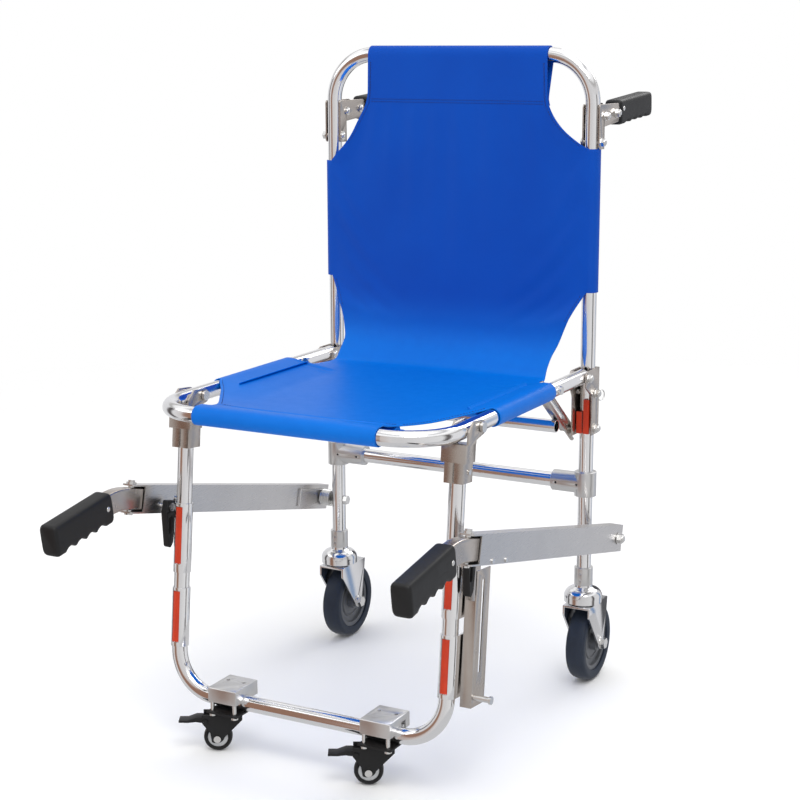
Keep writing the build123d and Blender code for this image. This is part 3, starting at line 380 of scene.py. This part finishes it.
def dome_tree(finish):
    """A domed cap on every point, its crown along the point's own direction."""
    g = Growth("domed_caps", Radius=0.005, Height=0.003)
    ball = g.add("GeometryNodeMeshUVSphere", {}, {"Segments": 20, "Rings": 10, "Radius": 1.0})
    cap = g.add("GeometryNodeTransform", {},
                {"Geometry": ball, "Scale": g.vector(g.size("Radius"), g.size("Radius"), g.size("Height"))})
    way = g.add("GeometryNodeInputNamedAttribute", {"data_type": "FLOAT_VECTOR"}, {"Name": "crown"})
    turn = g.add("FunctionNodeAlignRotationToVector", {"axis": "Z"}, {"Vector": way})
    many = g.add("GeometryNodeInstanceOnPoints", {},
                 {"Points": g.given.outputs[0], "Instance": cap, "Rotation": turn})
    return g.close(many, finish)


def stitch_tree(finish):
    """Thread stitches along a path, one every pitch."""
    g = Growth("stitch_row", Pitch=0.0042, Length=0.0030, Thickness=0.0009)
    path = g.add("GeometryNodeMeshToCurve", {}, {"Mesh": g.given.outputs[0]})
    spaced = g.add("GeometryNodeResampleCurve", {"mode": "LENGTH"},
                   {"Curve": path, "Length": g.size("Pitch")})
    ball = g.add("GeometryNodeMeshUVSphere", {}, {"Segments": 8, "Rings": 6, "Radius": 0.5})
    thick = g.size("Thickness")
    stitch = g.add("GeometryNodeTransform", {},
                   {"Geometry": ball, "Scale": g.vector(g.size("Length"), thick, thick)})
    way = g.add("GeometryNodeInputTangent", {}, {})
    turn = g.add("FunctionNodeAlignRotationToVector", {"axis": "X"}, {"Vector": way})
    many = g.add("GeometryNodeInstanceOnPoints", {},
                 {"Points": spaced, "Instance": stitch, "Rotation": turn})
    return g.close(many, finish)


def coil_tree(finish):
    """A wire coil that stands on the origin along Z."""
    g = Growth("coil", Turns=8.0, Radius=0.005, Length=0.04, Wire=0.0006)
    line = g.add("GeometryNodeCurveSpiral", {},
                 {"Resolution": 18, "Rotations": g.size("Turns"), "Start Radius": g.size("Radius"),
                  "End Radius": g.size("Radius"), "Height": g.size("Length")})
    section = g.add("GeometryNodeCurvePrimitiveCircle", {}, {"Resolution": 8, "Radius": g.size("Wire")})
    wire = g.add("GeometryNodeCurveToMesh", {},
                 {"Curve": line, "Profile Curve": section, "Fill Caps": True})
    return g.close(wire, finish)


CAPS = dome_tree(FINISH["zinc_steel"])
STITCHES = stitch_tree(THREAD)
COILS = coil_tree(FINISH["zinc_steel"])


def domes(name, body, spots, radius, height):
    """Domed caps at (point, direction) pairs, riding on one body."""
    obj = new_piece(name, [p for p, _ in spots], [], FINISH["zinc_steel"], smooth=False)
    crown = obj.data.attributes.new("crown", "FLOAT_VECTOR", "POINT")
    crown.data.foreach_set("vector", [c for _, way in spots for c in way])
    CAPS.grow(obj, Radius=radius, Height=height)
    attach(obj, body)
    return obj


# ------------------------------------------------------------------ the sling
HALF = 0.215                    # post and seat tube centres from the middle plane
WRAP = 0.0124                   # tube centre to the middle of the cloth
CLOTH = 0.0016
BAR_AT = (0.0, 0.950)
FRONT_AT = (-0.502, 0.485)


def arc(centre, radius, start, end, count):
    angles = np.radians(np.linspace(start, end, count))
    return [(centre[0] + radius * math.cos(a), centre[1] + radius * math.sin(a)) for a in angles]


def resample(points, step):
    """Points a fixed step apart along a run of points."""
    points = np.array(points, float)
    legs = np.linalg.norm(np.diff(points, axis=0), axis=1)
    along = np.concatenate([[0], np.cumsum(legs)])
    count = max(2, int(round(along[-1] / step)) + 1)
    at = np.linspace(0, along[-1], count)
    return np.stack([np.interp(at, along, points[:, k]) for k in range(points.shape[1])], 1)


def rounded_path(keys, passes=10):
    """A run of points with its corners eased."""
    line = resample(keys, 0.003)
    for _ in range(passes):
        line[1:-1] = 0.25 * line[:-2] + 0.5 * line[1:-1] + 0.25 * line[2:]
    return line


def sling_path():
    """The sling's line from its top flap, over the bar, down the back and along the seat."""
    top = [(-0.0108, 0.878), (0.0110, 0.942)] + arc(BAR_AT, WRAP, 0, 180, 15)
    turn = [(-WRAP, 0.600), (-0.0128, 0.565), (-0.0160, 0.540), (-0.0240, 0.519), (-0.0380, 0.505),
            (-0.0600, 0.4990), (-0.0900, 0.4975), (-0.1300, 0.4974)]
    front = arc(FRONT_AT, WRAP, 90, 270, 15) + [(-0.490, 0.4735), (-0.440, 0.4955)]
    head = resample(top, 0.0045)
    middle = rounded_path([top[-1]] + turn + [front[0]], 14)
    tail = resample(front, 0.0045)
    return np.concatenate([head[:-1], resample(middle, 0.0058), tail[1:]])


def edge_of(path, side):
    """Half width of the sling at each point of its line."""
    right = side > 0
    lift = 0.0 if right else -0.027
    back_keys = [(0.99, 0.1475), (0.885, 0.1490), (0.872, 0.1535), (0.855, 0.1640),
                 (0.840 + lift * 0.5, 0.1790), (0.828 + lift * 0.8, 0.1960), (0.818 + lift, 0.2150),
                 (0.606, 0.2150), (0.600, 0.2105), (0.590, 0.2045), (0.575, 0.1970), (0.555, 0.1890),
                 (0.535, 0.1825), (0.515, 0.1775), (0.500, 0.1750)]
    seat_keys = [(-0.030, 0.1745), (-0.055, 0.1745), (-0.080, 0.1790), (-0.105, 0.1880), (-0.128, 0.2010),
                 (-0.146, 0.2150), (-0.338, 0.2150), (-0.352, 0.2020), (-0.372, 0.1870), (-0.400, 0.1700),
                 (-0.432, 0.1500), (-0.448, 0.1410), (-0.462, 0.1385), (-0.560, 0.1385)]
    back = np.array(sorted(back_keys))
    seat = np.array(sorted(seat_keys))
    width = np.zeros(len(path))
    for i, (y, z) in enumerate(path):
        on_back = np.interp(z, back[:, 0], back[:, 1])
        on_seat = np.interp(y, seat[:, 0], seat[:, 1])
        if z > 0.52:
            width[i] = on_back
        elif y < -0.055:
            width[i] = on_seat
        else:
            width[i] = min(on_back, on_seat)
    smooth = width.copy()
    for _ in range(3):
        smooth[1:-1] = 0.25 * smooth[:-2] + 0.5 * smooth[1:-1] + 0.25 * smooth[2:]
    held = width >= 0.2149
    return np.where(held, width, np.minimum(smooth, 0.2149)), held


def build_sling():
    path = sling_path()
    columns = 61
    evenly = np.linspace(-1, 1, columns)
    across = np.sin(np.linspace(-math.pi / 2, math.pi / 2, columns)) * 0.25 + evenly * 0.75
    left, held_left = edge_of(path, -1)
    right, held_right = edge_of(path, 1)
    points, index = [], {}
    for i, (y, z) in enumerate(path):
        for j, t in enumerate(across):
            index[i, j] = len(points)
            points.append((t * (right[i] if t > 0 else left[i]), y, z))
    faces, pinned = [], set()
    rows = len(path)
    for i in range(rows - 1):
        for j in range(columns - 1):
            faces.append((index[i, j], index[i + 1, j], index[i + 1, j + 1], index[i, j + 1]))
    bar_rows = [i for i, (y, z) in enumerate(path) if z > 0.884 or y < -0.487 or (z < 0.49)]
    for side, held in ((-1, held_left), (1, held_right)):
        edge = columns - 1 if side > 0 else 0
        wraps = {}
        for i in range(rows):
            if not held[i] or i in bar_rows:
                continue
            if path[i][0] > -0.03:
                under = Vector((0, 1, 0))
                base = Vector((side * HALF, 0, path[i][1]))
            else:
                under = Vector((0, 0, -1))
                base = Vector((side * HALF, path[i][0], 0.485))
            run = []
            for angle in np.linspace(12, 180, 13):
                a = math.radians(angle)
                run.append(base + Vector((side, 0, 0)) * (WRAP * math.sin(a)) - under * (WRAP * math.cos(a)))
            for part in np.linspace(0.2, 1.0, 5):
                lower = base + under * WRAP
                tuck = base - Vector((side * 0.036, 0, 0)) - under * (WRAP - 0.0022)
                run.append(lower.lerp(tuck, part))
            wraps[i] = []
            for p in run:
                wraps[i].append(len(points))
                pinned.add(len(points))
                points.append(tuple(p))
        for i in wraps:
            if i + 1 in wraps:
                here = [index[i, edge]] + wraps[i]
                there = [index[i + 1, edge]] + wraps[i + 1]
                for a in range(len(here) - 1):
                    quad = (here[a], there[a], there[a + 1], here[a + 1])
                    faces.append(quad if side > 0 else quad[::-1])
            pinned.add(index[i, edge])
            pinned.add(index[i, edge - side])
    for i in bar_rows:
        for j in range(columns):
            pinned.add(index[i, j])
    return points, faces, pinned, path


def settle(obj, pinned):
    """Lets the cloth hang: held where it wraps a tube, slightly loose between."""
    group = obj.vertex_groups.new(name="held")
    group.add(sorted(pinned), 1.0, "REPLACE")
    cloth = obj.modifiers.new("hang", "CLOTH")
    kept = cloth.settings
    kept.quality = 7
    kept.mass = 0.5
    kept.tension_stiffness = kept.compression_stiffness = 60
    kept.shear_stiffness = 25
    kept.bending_stiffness = 6
    kept.shrink_min = -0.0028
    kept.vertex_group_mass = "held"
    kept.pin_stiffness = 1.0
    cloth.collision_settings.use_collision = False
    cloth.point_cache.frame_start, cloth.point_cache.frame_end = 1, 30
    scene = bpy.context.scene
    scene.frame_start, scene.frame_end = 1, 30
    for step in range(1, 31):
        scene.frame_set(step)
    bake_down(obj)
    scene.frame_set(1)


def make_sling():
    points, faces, pinned, path = build_sling()
    sling = new_piece("sling", points, faces, FINISH["blue_cover"])
    start = [Vector(p) for p in points]
    settle(sling, pinned)
    for vertex, first in zip(sling.data.vertices, start):
        moved = vertex.co - first
        if moved.length > 0.014:
            vertex.co = first + moved * (0.014 / moved.length)
    skin = sling.modifiers.new("thickness", "SOLIDIFY")
    skin.thickness, skin.offset = CLOTH, 0.0
    rim = sling.modifiers.new("rim", "BEVEL")
    rim.width, rim.segments = 0.0007, 2
    rim.limit_method, rim.angle_limit = "ANGLE", math.radians(60)
    bake_down(sling)
    sling.data.shade_smooth()
    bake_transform(sling)
    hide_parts("back_cover", "seat_cover")
    return sling


sling = make_sling()


def sewn(name, body, line, sizes):
    """A stitch row laid on the sling's outer face."""
    laid = []
    for p, way in line:
        hit, _, _, _ = sling_tree.ray_cast(Vector(p) + Vector(way) * 0.03, -Vector(way), 0.06)
        if hit is not None:
            laid.append(hit + Vector(way) * 0.0001)
    mesh = bpy.data.meshes.new(name)
    mesh.from_pydata([tuple(p) for p in laid], [(i, i + 1) for i in range(len(laid) - 1)], [])
    mesh.materials.append(THREAD)
    obj = bpy.data.objects.new(name, mesh)
    bpy.context.scene.collection.objects.link(obj)
    STITCHES.grow(obj, **sizes)
    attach(obj, body)
    return obj


sling_tree = BVHTree.FromPolygons([v.co for v in sling.data.vertices],
                                  [p.vertices[:] for p in sling.data.polygons])
ROW = dict(Pitch=0.0042, Length=0.0032, Thickness=0.0010)
for order, z in enumerate((0.8835, 0.8795)):
    sewn(f"top_stitches_{order}", "back_frame",
         [((x, -0.013, z), (0, -1, 0)) for x in np.linspace(-0.141, 0.141, 90)], ROW)
for order, y in enumerate((-0.446, -0.450)):
    sewn(f"front_stitches_{order}", "seat",
         [((x, y, 0.497), (0, 0, 1)) for x in np.linspace(-0.131, 0.131, 90)], ROW)
for side_name, side in SIDES:
    sleeve_top = 0.80 if side > 0 else 0.775
    sewn(f"back_side_stitches_{side_name}", "back_frame",
         [((side * 0.183, 0.0, z), (0, 1, 0)) for z in np.linspace(sleeve_top, 0.618, 80)], ROW)


def neck_rows():
    """Stitch rows just inside the sling's curved edges."""
    path = sling_path()
    for side_name, side in SIDES:
        width, held = edge_of(path, side)
        upper = [((side * (w - 0.005), -0.013, z), (0, -1, 0)) for (y, z), w, h in zip(path, width, held)
                 if y < -0.01 and not h and 0.812 < z < 0.940]
        lower = [((side * (w - 0.005), -0.014, z), (0, -1, 0)) for (y, z), w, h in zip(path, width, held)
                 if y < -0.01 and not h and 0.565 < z < 0.606]
        front = [((side * (w - 0.005), y, 0.497), (0, 0, 1)) for (y, z), w, h in zip(path, width, held)
                 if not h and -0.444 < y < -0.338 and z > 0.49]
        for label, body, line in (("upper", "back_frame", upper), ("lower", "back_frame", lower),
                                  ("front", "seat", front)):
            sewn(f"{label}_neck_stitches_{side_name}", body, line, ROW)


neck_rows()


# ------------------------------------------------------------------ grips
def grip(node, origin, along, up, length, half_width, top, bottom, grooves, groove_depth, rivet_at):
    """Moulded grip with finger grooves underneath, lofted along its own line."""
    along, up = Vector(along).normalized(), Vector(up).normalized()
    out = along.cross(up)
    rings = []
    stations = 97
    for i in range(stations):
        t = i / (stations - 1)
        s = t * length
        nose = min(s, length - s)
        ease = 1.0 if nose > 0.006 else math.sqrt(max(0.0, 1 - (1 - nose / 0.006) ** 2)) * 0.24 + 0.76
        lift = 0.0
        first, last = grooves[0], grooves[1]
        if first < s < last:
            wave = math.sin(math.pi * ((s - first) / (last - first) * grooves[2] % 1.0))
            lift = groove_depth * wave ** 0.8
        ring = []
        for k in range(40):
            a = 2 * math.pi * k / 40
            c, d = math.cos(a), math.sin(a)
            power = 0.36
            x = math.copysign(abs(c) ** power, c) * half_width * ease
            y = math.copysign(abs(d) ** power, d)
            y = y * top if y > 0 else -(-y) * (bottom - lift)
            ring.append(Vector(origin) + along * s + out * x + up * (y * ease))
        rings.append(ring)
    points, faces = loft(rings)
    obj = outward(new_piece(f"{node}_moulded", points, faces, FINISH["black_plastic"]))
    obj.data.set_sharp_from_angle(angle=math.radians(55))
    body = BODY_OF[node]
    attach(obj, body)
    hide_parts(node)
    s, h = rivet_at
    heads = []
    for way in (-1, 1):
        at = Vector(origin) + along * s + up * h + out * (half_width * way)
        heads.append((at, out * way))
    domes(f"{node}_rivet", body, heads, 0.0036, 0.0016)


SLOPE = math.radians(13.1)
BEAM_PIVOT = Vector((0, 0, 0.2385))
BEAM_BACK = Vector((0, math.cos(SLOPE), -math.sin(SLOPE)))
BEAM_UP = Vector((0, math.sin(SLOPE), math.cos(SLOPE)))


def on_beam(x, y, z):
    """A point in the beam's own directions, in millimetres from its pivot."""
    return Vector((x * MM, 0, 0)) + BEAM_PIVOT + BEAM_BACK * (y * MM) + BEAM_UP * (z * MM)


DROP = math.radians(22)
ARM_BEND = -522.0
ARM_RADIUS = 110.0
arm_end = (ARM_BEND - ARM_RADIUS * math.sin(DROP), -ARM_RADIUS * (1 - math.cos(DROP)))
front_way = BEAM_BACK * -math.cos(DROP) + BEAM_UP * -math.sin(DROP)
front_up = BEAM_UP * math.cos(DROP) - BEAM_BACK * math.sin(DROP)
for side_name, side in SIDES:
    grip(f"front_grip_{side_name}", on_beam(side * 258, *arm_end), front_way, front_up, 0.122,
         0.0140, 0.0200, 0.0240, (0.016, 0.104, 4), 0.0050, (0.012, 0.0))
    tilt = math.radians(4)
    way = Vector((0, math.cos(tilt), math.sin(tilt)))
    raise_ = Vector((0, -math.sin(tilt), math.cos(tilt)))
    start = Vector((side * HALF, 0.058, 0.866)) + way * 0.021
    grip(f"rear_grip_{side_name}", start, way, raise_, 0.133,
         0.0136, 0.0162, 0.0205, (0.022, 0.118, 4), 0.0040, (0.011, 0.003))


# ------------------------------------------------------------------ rounded metal and plastic
for node, width in (
        ("seat_hinge_brackets", 0.0005), ("rear_handle_brackets", 0.0005), ("leg_brackets", 0.0006),
        ("leg_clamps", 0.0004), ("leg_channel", 0.0004), ("lock_braces", 0.0004),
        ("caster_blocks", 0.0009), ("cross_tube_fittings", 0.0010), ("caster_sleeves", 0.0006),
        ("caster_plates", 0.0005)):
    softened(node, width)
for side_name, _ in SIDES:
    for node, width in (("latch_lever", 0.0009), ("brake_pedal", 0.0007), ("front_fork", 0.0006),
                        ("rear_fork", 0.0007), ("front_handle_arm", 0.0004)):
        softened(f"{node}_{side_name}", width)


# ------------------------------------------------------------------ bolts, springs and rings
def post_bolt_spots():
    spots = []
    for _, side in SIDES:
        for y, z in ((0, 457), (0, 404), (-30, 485), (0, 826), (15.6, 863), (58, 866)):
            spots.append((Vector((side * 234.2, y, z)) * MM, Vector((side, 0, 0))))
            if z > 480:
                spots.append((Vector((side * 199.8, y, z)) * MM, Vector((-side, 0, 0))))
    return spots


domes("frame_bolt_domes", "back_frame", post_bolt_spots(), 0.0046, 0.0030)
domes("beam_pivot_domes", "back_frame",
      [(Vector((side * (269.5 + 7.2), 0, 238.5)) * MM, Vector((side, 0, 0))) for _, side in SIDES],
      0.0055, 0.0035)


def brace_springs():
    """Coil spring in the slot of each lock brace."""
    top, foot = Vector((0, -0.130, 0.485)), Vector((0, -0.021, 0.401))
    line = foot - top
    length = 0.056
    for side_name, side in SIDES:
        obj = new_piece(f"brace_spring_{side_name}", [(0, 0, 0)], [], FINISH["zinc_steel"])
        COILS.grow(obj, Turns=15.0, Radius=0.0031, Length=length, Wire=0.0006)
        turn = line.normalized().to_track_quat("Z", "X").to_matrix().to_4x4()
        middle = top + line * 0.472 + Vector((side * 0.1974, 0, 0)) + Vector((0, 0, 0.0008))
        obj.data.transform(Matrix.Translation(middle - line.normalized() * length / 2) @ turn)
        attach(obj, "lock")


def wire_rings():
    """Thin split rings on the hinge bolts."""
    for side_name, side in SIDES:
        obj = new_piece(f"hinge_ring_{side_name}", [(0, 0, 0)], [], FINISH["zinc_steel"])
        COILS.grow(obj, Turns=1.9, Radius=0.0080, Length=0.0016, Wire=0.0005)
        turn = Matrix.Rotation(math.radians(90), 4, "Y") @ Matrix.Rotation(math.radians(12), 4, "X")
        place = Matrix.Translation(Vector((side * 0.2370, -0.001, 0.4555)))
        obj.data.transform(place @ turn)
        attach(obj, "back_frame")


brace_springs()
wire_rings()


# ------------------------------------------------------------------ wheels
def turned(name, profile, centre, axis, finish, steps=96):
    """A piece turned on a lathe: profile as (distance along the axis, radius)."""
    axis = Vector(axis).normalized()
    turn = axis.to_track_quat("Z", "X").to_matrix()
    rings = []
    for k in range(steps):
        a = 2 * math.pi * k / steps
        rings.append([Vector(centre) + turn @ Vector((r * math.cos(a), r * math.sin(a), s))
                      for s, r in profile])
    count = len(profile)
    points = [p for ring in rings for p in ring]
    faces = []
    for i in range(steps):
        k = (i + 1) % steps
        for j in range(count):
            m = (j + 1) % count
            faces.append((i * count + j, k * count + j, k * count + m, i * count + m))
    obj = outward(new_piece(name, points, faces, finish))
    obj.data.set_sharp_from_angle(angle=math.radians(38))
    return obj


def ring_profile(half, outer, inner, shoulder, crown, count=7):
    """Closed section of a tyre: rounded shoulders and a slightly crowned tread."""
    side = []
    for a in np.linspace(0, 90, count):
        r = math.radians(a)
        side.append((half - shoulder + shoulder * math.cos(r),
                     outer - crown - shoulder + shoulder * math.sin(r)))
    flat = np.linspace(half - shoulder, -half + shoulder, 7)[1:-1]
    tread = [(s, outer - crown * (s / half) ** 2) for s in flat]
    right = [(half - 0.0016, inner), (half - 0.0003, inner + 0.0025)] + side
    left = [(-s, r) for s, r in reversed(right)]
    return right + tread + left


def wheels():
    for side_name, side in SIDES:
        centre = Vector((side * HALF, 0.025, 0.060))
        tyre = turned(f"rear_tyre_{side_name}_round", ring_profile(0.015, 0.060, 0.0442, 0.0055, 0.0012),
                      centre, (1, 0, 0), FINISH["blue_tyre"])
        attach(tyre, f"rear_wheel_{side_name}")
        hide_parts(f"rear_tyre_{side_name}")
        yaw = math.radians(62)
        lo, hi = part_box(f"front_tyre_{side_name}")
        middle = (Vector(lo) + Vector(hi)) / 2
        way = (math.cos(yaw), -math.sin(yaw), 0)
        section = ring_profile(0.0075, 0.020, 0.01405, 0.0030, 0.0006, 5)
        small = turned(f"front_tyre_{side_name}_round", section, middle, way, FINISH["black_plastic"], 64)
        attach(small, f"front_wheel_{side_name}")
        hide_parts(f"front_tyre_{side_name}")


wheels()


# ------------------------------------------------------------------ floor, light and camera
def studio_wall():
    """Ring of pale boards with a few dark and brown ones, seen only in the polished metal."""
    count, far = 96, 1.9
    points = []
    for i in range(count):
        turn = 2 * math.pi * i / count
        points += [(far * math.sin(turn), far * math.cos(turn), z) for z in (-0.75, 1.25)]
    faces = [(2 * i, 2 * i + 1, (2 * i + 3) % (2 * count), (2 * i + 2) % (2 * count)) for i in range(count)]
    wall = new_piece("studio_wall", points, faces, None)
    boards = bpy.data.materials.new("studio_boards")
    boards.use_nodes = True
    tree = boards.node_tree
    tree.nodes.clear()
    place = tree.nodes.new("ShaderNodeTexCoord")
    split = tree.nodes.new("ShaderNodeSeparateXYZ")
    tree.links.new(place.outputs["Object"], split.inputs[0])
    angle = tree.nodes.new("ShaderNodeMath")
    angle.operation = "ARCTAN2"
    tree.links.new(split.outputs["X"], angle.inputs[0])
    tree.links.new(split.outputs["Y"], angle.inputs[1])
    round_ = tree.nodes.new("ShaderNodeMapRange")
    round_.inputs["From Min"].default_value, round_.inputs["From Max"].default_value = -math.pi, math.pi
    tree.links.new(angle.outputs[0], round_.inputs["Value"])
    shades = tree.nodes.new("ShaderNodeValToRGB")
    tree.links.new(round_.outputs[0], shades.inputs["Fac"])
    Paint.set_stops(shades, (
        (0.000, (0.70, 0.68, 0.68)), (0.040, (0.60, 0.54, 0.51)), (0.056, (0.30, 0.17, 0.12)),
        (0.100, (0.30, 0.17, 0.12)), (0.120, (0.66, 0.63, 0.62)), (0.170, (0.76, 0.75, 0.76)),
        (0.188, (0.10, 0.09, 0.09)), (0.212, (0.10, 0.09, 0.09)), (0.235, (0.74, 0.74, 0.75)),
        (0.400, (0.84, 0.84, 0.86)), (0.460, (0.70, 0.70, 0.71)), (0.478, (0.08, 0.08, 0.09)),
        (0.522, (0.08, 0.08, 0.09)), (0.545, (0.68, 0.68, 0.70)), (0.600, (0.80, 0.80, 0.82)),
        (0.612, (0.22, 0.33, 0.52)), (0.625, (0.22, 0.33, 0.52)), (0.640, (0.78, 0.78, 0.80)),
        (0.735, (0.80, 0.80, 0.81)), (0.748, (0.12, 0.11, 0.11)), (0.768, (0.12, 0.11, 0.11)),
        (0.790, (0.78, 0.78, 0.78)), (0.900, (0.72, 0.71, 0.71)), (0.960, (0.66, 0.65, 0.65))))
    shine = tree.nodes.new("ShaderNodeEmission")
    tree.links.new(shades.outputs[0], shine.inputs["Color"])
    out = tree.nodes.new("ShaderNodeOutputMaterial")
    tree.links.new(shine.outputs[0], out.inputs["Surface"])
    wall.data.materials.clear()
    wall.data.materials.append(boards)
    for kind in ("visible_camera", "visible_diffuse", "visible_shadow", "visible_transmission"):
        setattr(wall, kind, False)


def studio():
    floor = new_piece("floor", [(-9, -9, 0), (9, -9, 0), (9, 9, 0), (-9, 9, 0)], [(0, 1, 2, 3)], None)
    ground = Paint("floor_paint", Roughness=0.6)
    grain = ground.noise(3, 3, 0.5)
    away = ground.add("ShaderNodeVectorMath", {"operation": "LENGTH"}, {"Vector": ground.place}, 1)
    solid = ground.add("ShaderNodeMapRange", {"interpolation_type": "SMOOTHSTEP"},
                       {"Value": away, "From Min": 1.0, "From Max": 2.8, "To Min": 1.0, "To Max": 0.0})
    ground.tree.links.new(solid.socket, ground.skin.inputs["Alpha"])
    floor.data.materials.clear()
    pale = ground.mix(grain, (0.965, 0.965, 0.965), (0.945, 0.945, 0.945))
    floor.data.materials.append(ground.finish(pale))
    floor.visible_glossy = False
    world = bpy.data.worlds.new("studio")
    bpy.context.scene.world = world
    world.use_nodes = True
    tree = world.node_tree
    place = tree.nodes.new("ShaderNodeTexCoord")
    split = tree.nodes.new("ShaderNodeSeparateXYZ")
    tree.links.new(place.outputs["Generated"], split.inputs[0])
    glow = tree.nodes.new("ShaderNodeValToRGB")
    tree.links.new(split.outputs["Z"], glow.inputs["Fac"])
    Paint.set_stops(glow, (
        (0.00, (0.60, 0.60, 0.61)), (0.34, (0.72, 0.71, 0.71)), (0.46, (0.42, 0.41, 0.40)),
        (0.56, (0.95, 0.95, 0.95)), (0.74, (1.15, 1.15, 1.15)), (0.82, (0.50, 0.50, 0.52)),
        (0.90, (1.25, 1.25, 1.25))))
    room = tree.nodes["Background"]
    tree.links.new(glow.outputs[0], room.inputs["Color"])
    plain = tree.nodes.new("ShaderNodeBackground")
    plain.inputs["Color"].default_value = (1, 1, 1, 1)
    rays = tree.nodes.new("ShaderNodeLightPath")
    seen = tree.nodes.new("ShaderNodeMixShader")
    tree.links.new(rays.outputs["Is Camera Ray"], seen.inputs[0])
    tree.links.new(room.outputs[0], seen.inputs[1])
    tree.links.new(plain.outputs[0], seen.inputs[2])
    tree.links.new(seen.outputs[0], tree.nodes["World Output"].inputs["Surface"])
    studio_wall()
    for name, at, size, power in (("key", (1.2, -1.8, 3.2), 1.8, 40), ("fill", (-2.6, -1.8, 1.8), 2.0, 14),
                                  ("back", (0.4, 2.4, 2.4), 1.6, 22)):
        lamp = bpy.data.lights.new(name, "AREA")
        lamp.size, lamp.energy = size, power
        obj = bpy.data.objects.new(name, lamp)
        obj.location = at
        obj.rotation_euler = (Vector((0, -0.2, 0.5)) - Vector(at)).to_track_quat("-Z", "Y").to_euler()
        bpy.context.scene.collection.objects.link(obj)
    bpy.context.scene.view_settings.view_transform = "Standard"


def take_picture():
    azimuth, elevation, roll = (math.radians(a) for a in (28.205, 11.977, -0.169))
    ahead = Vector((-math.sin(azimuth) * math.cos(elevation), math.cos(azimuth) * math.cos(elevation),
                    -math.sin(elevation)))
    right = Vector((math.cos(azimuth), math.sin(azimuth), 0))
    up = right.cross(ahead)
    rolled_right = right * math.cos(roll) + up * math.sin(roll)
    rolled_up = up * math.cos(roll) - right * math.sin(roll)
    lens = bpy.data.cameras.new("camera")
    lens.sensor_width, lens.lens = 36.0, 76.67
    lens.clip_end = 60
    camera = bpy.data.objects.new("camera", lens)
    camera.matrix_world = Matrix((rolled_right, rolled_up, -ahead)).transposed().to_4x4()
    camera.location = (1.143435, -2.320893, 0.973327)
    bpy.context.scene.collection.objects.link(camera)
    bpy.context.scene.camera = camera


studio()
take_picture()
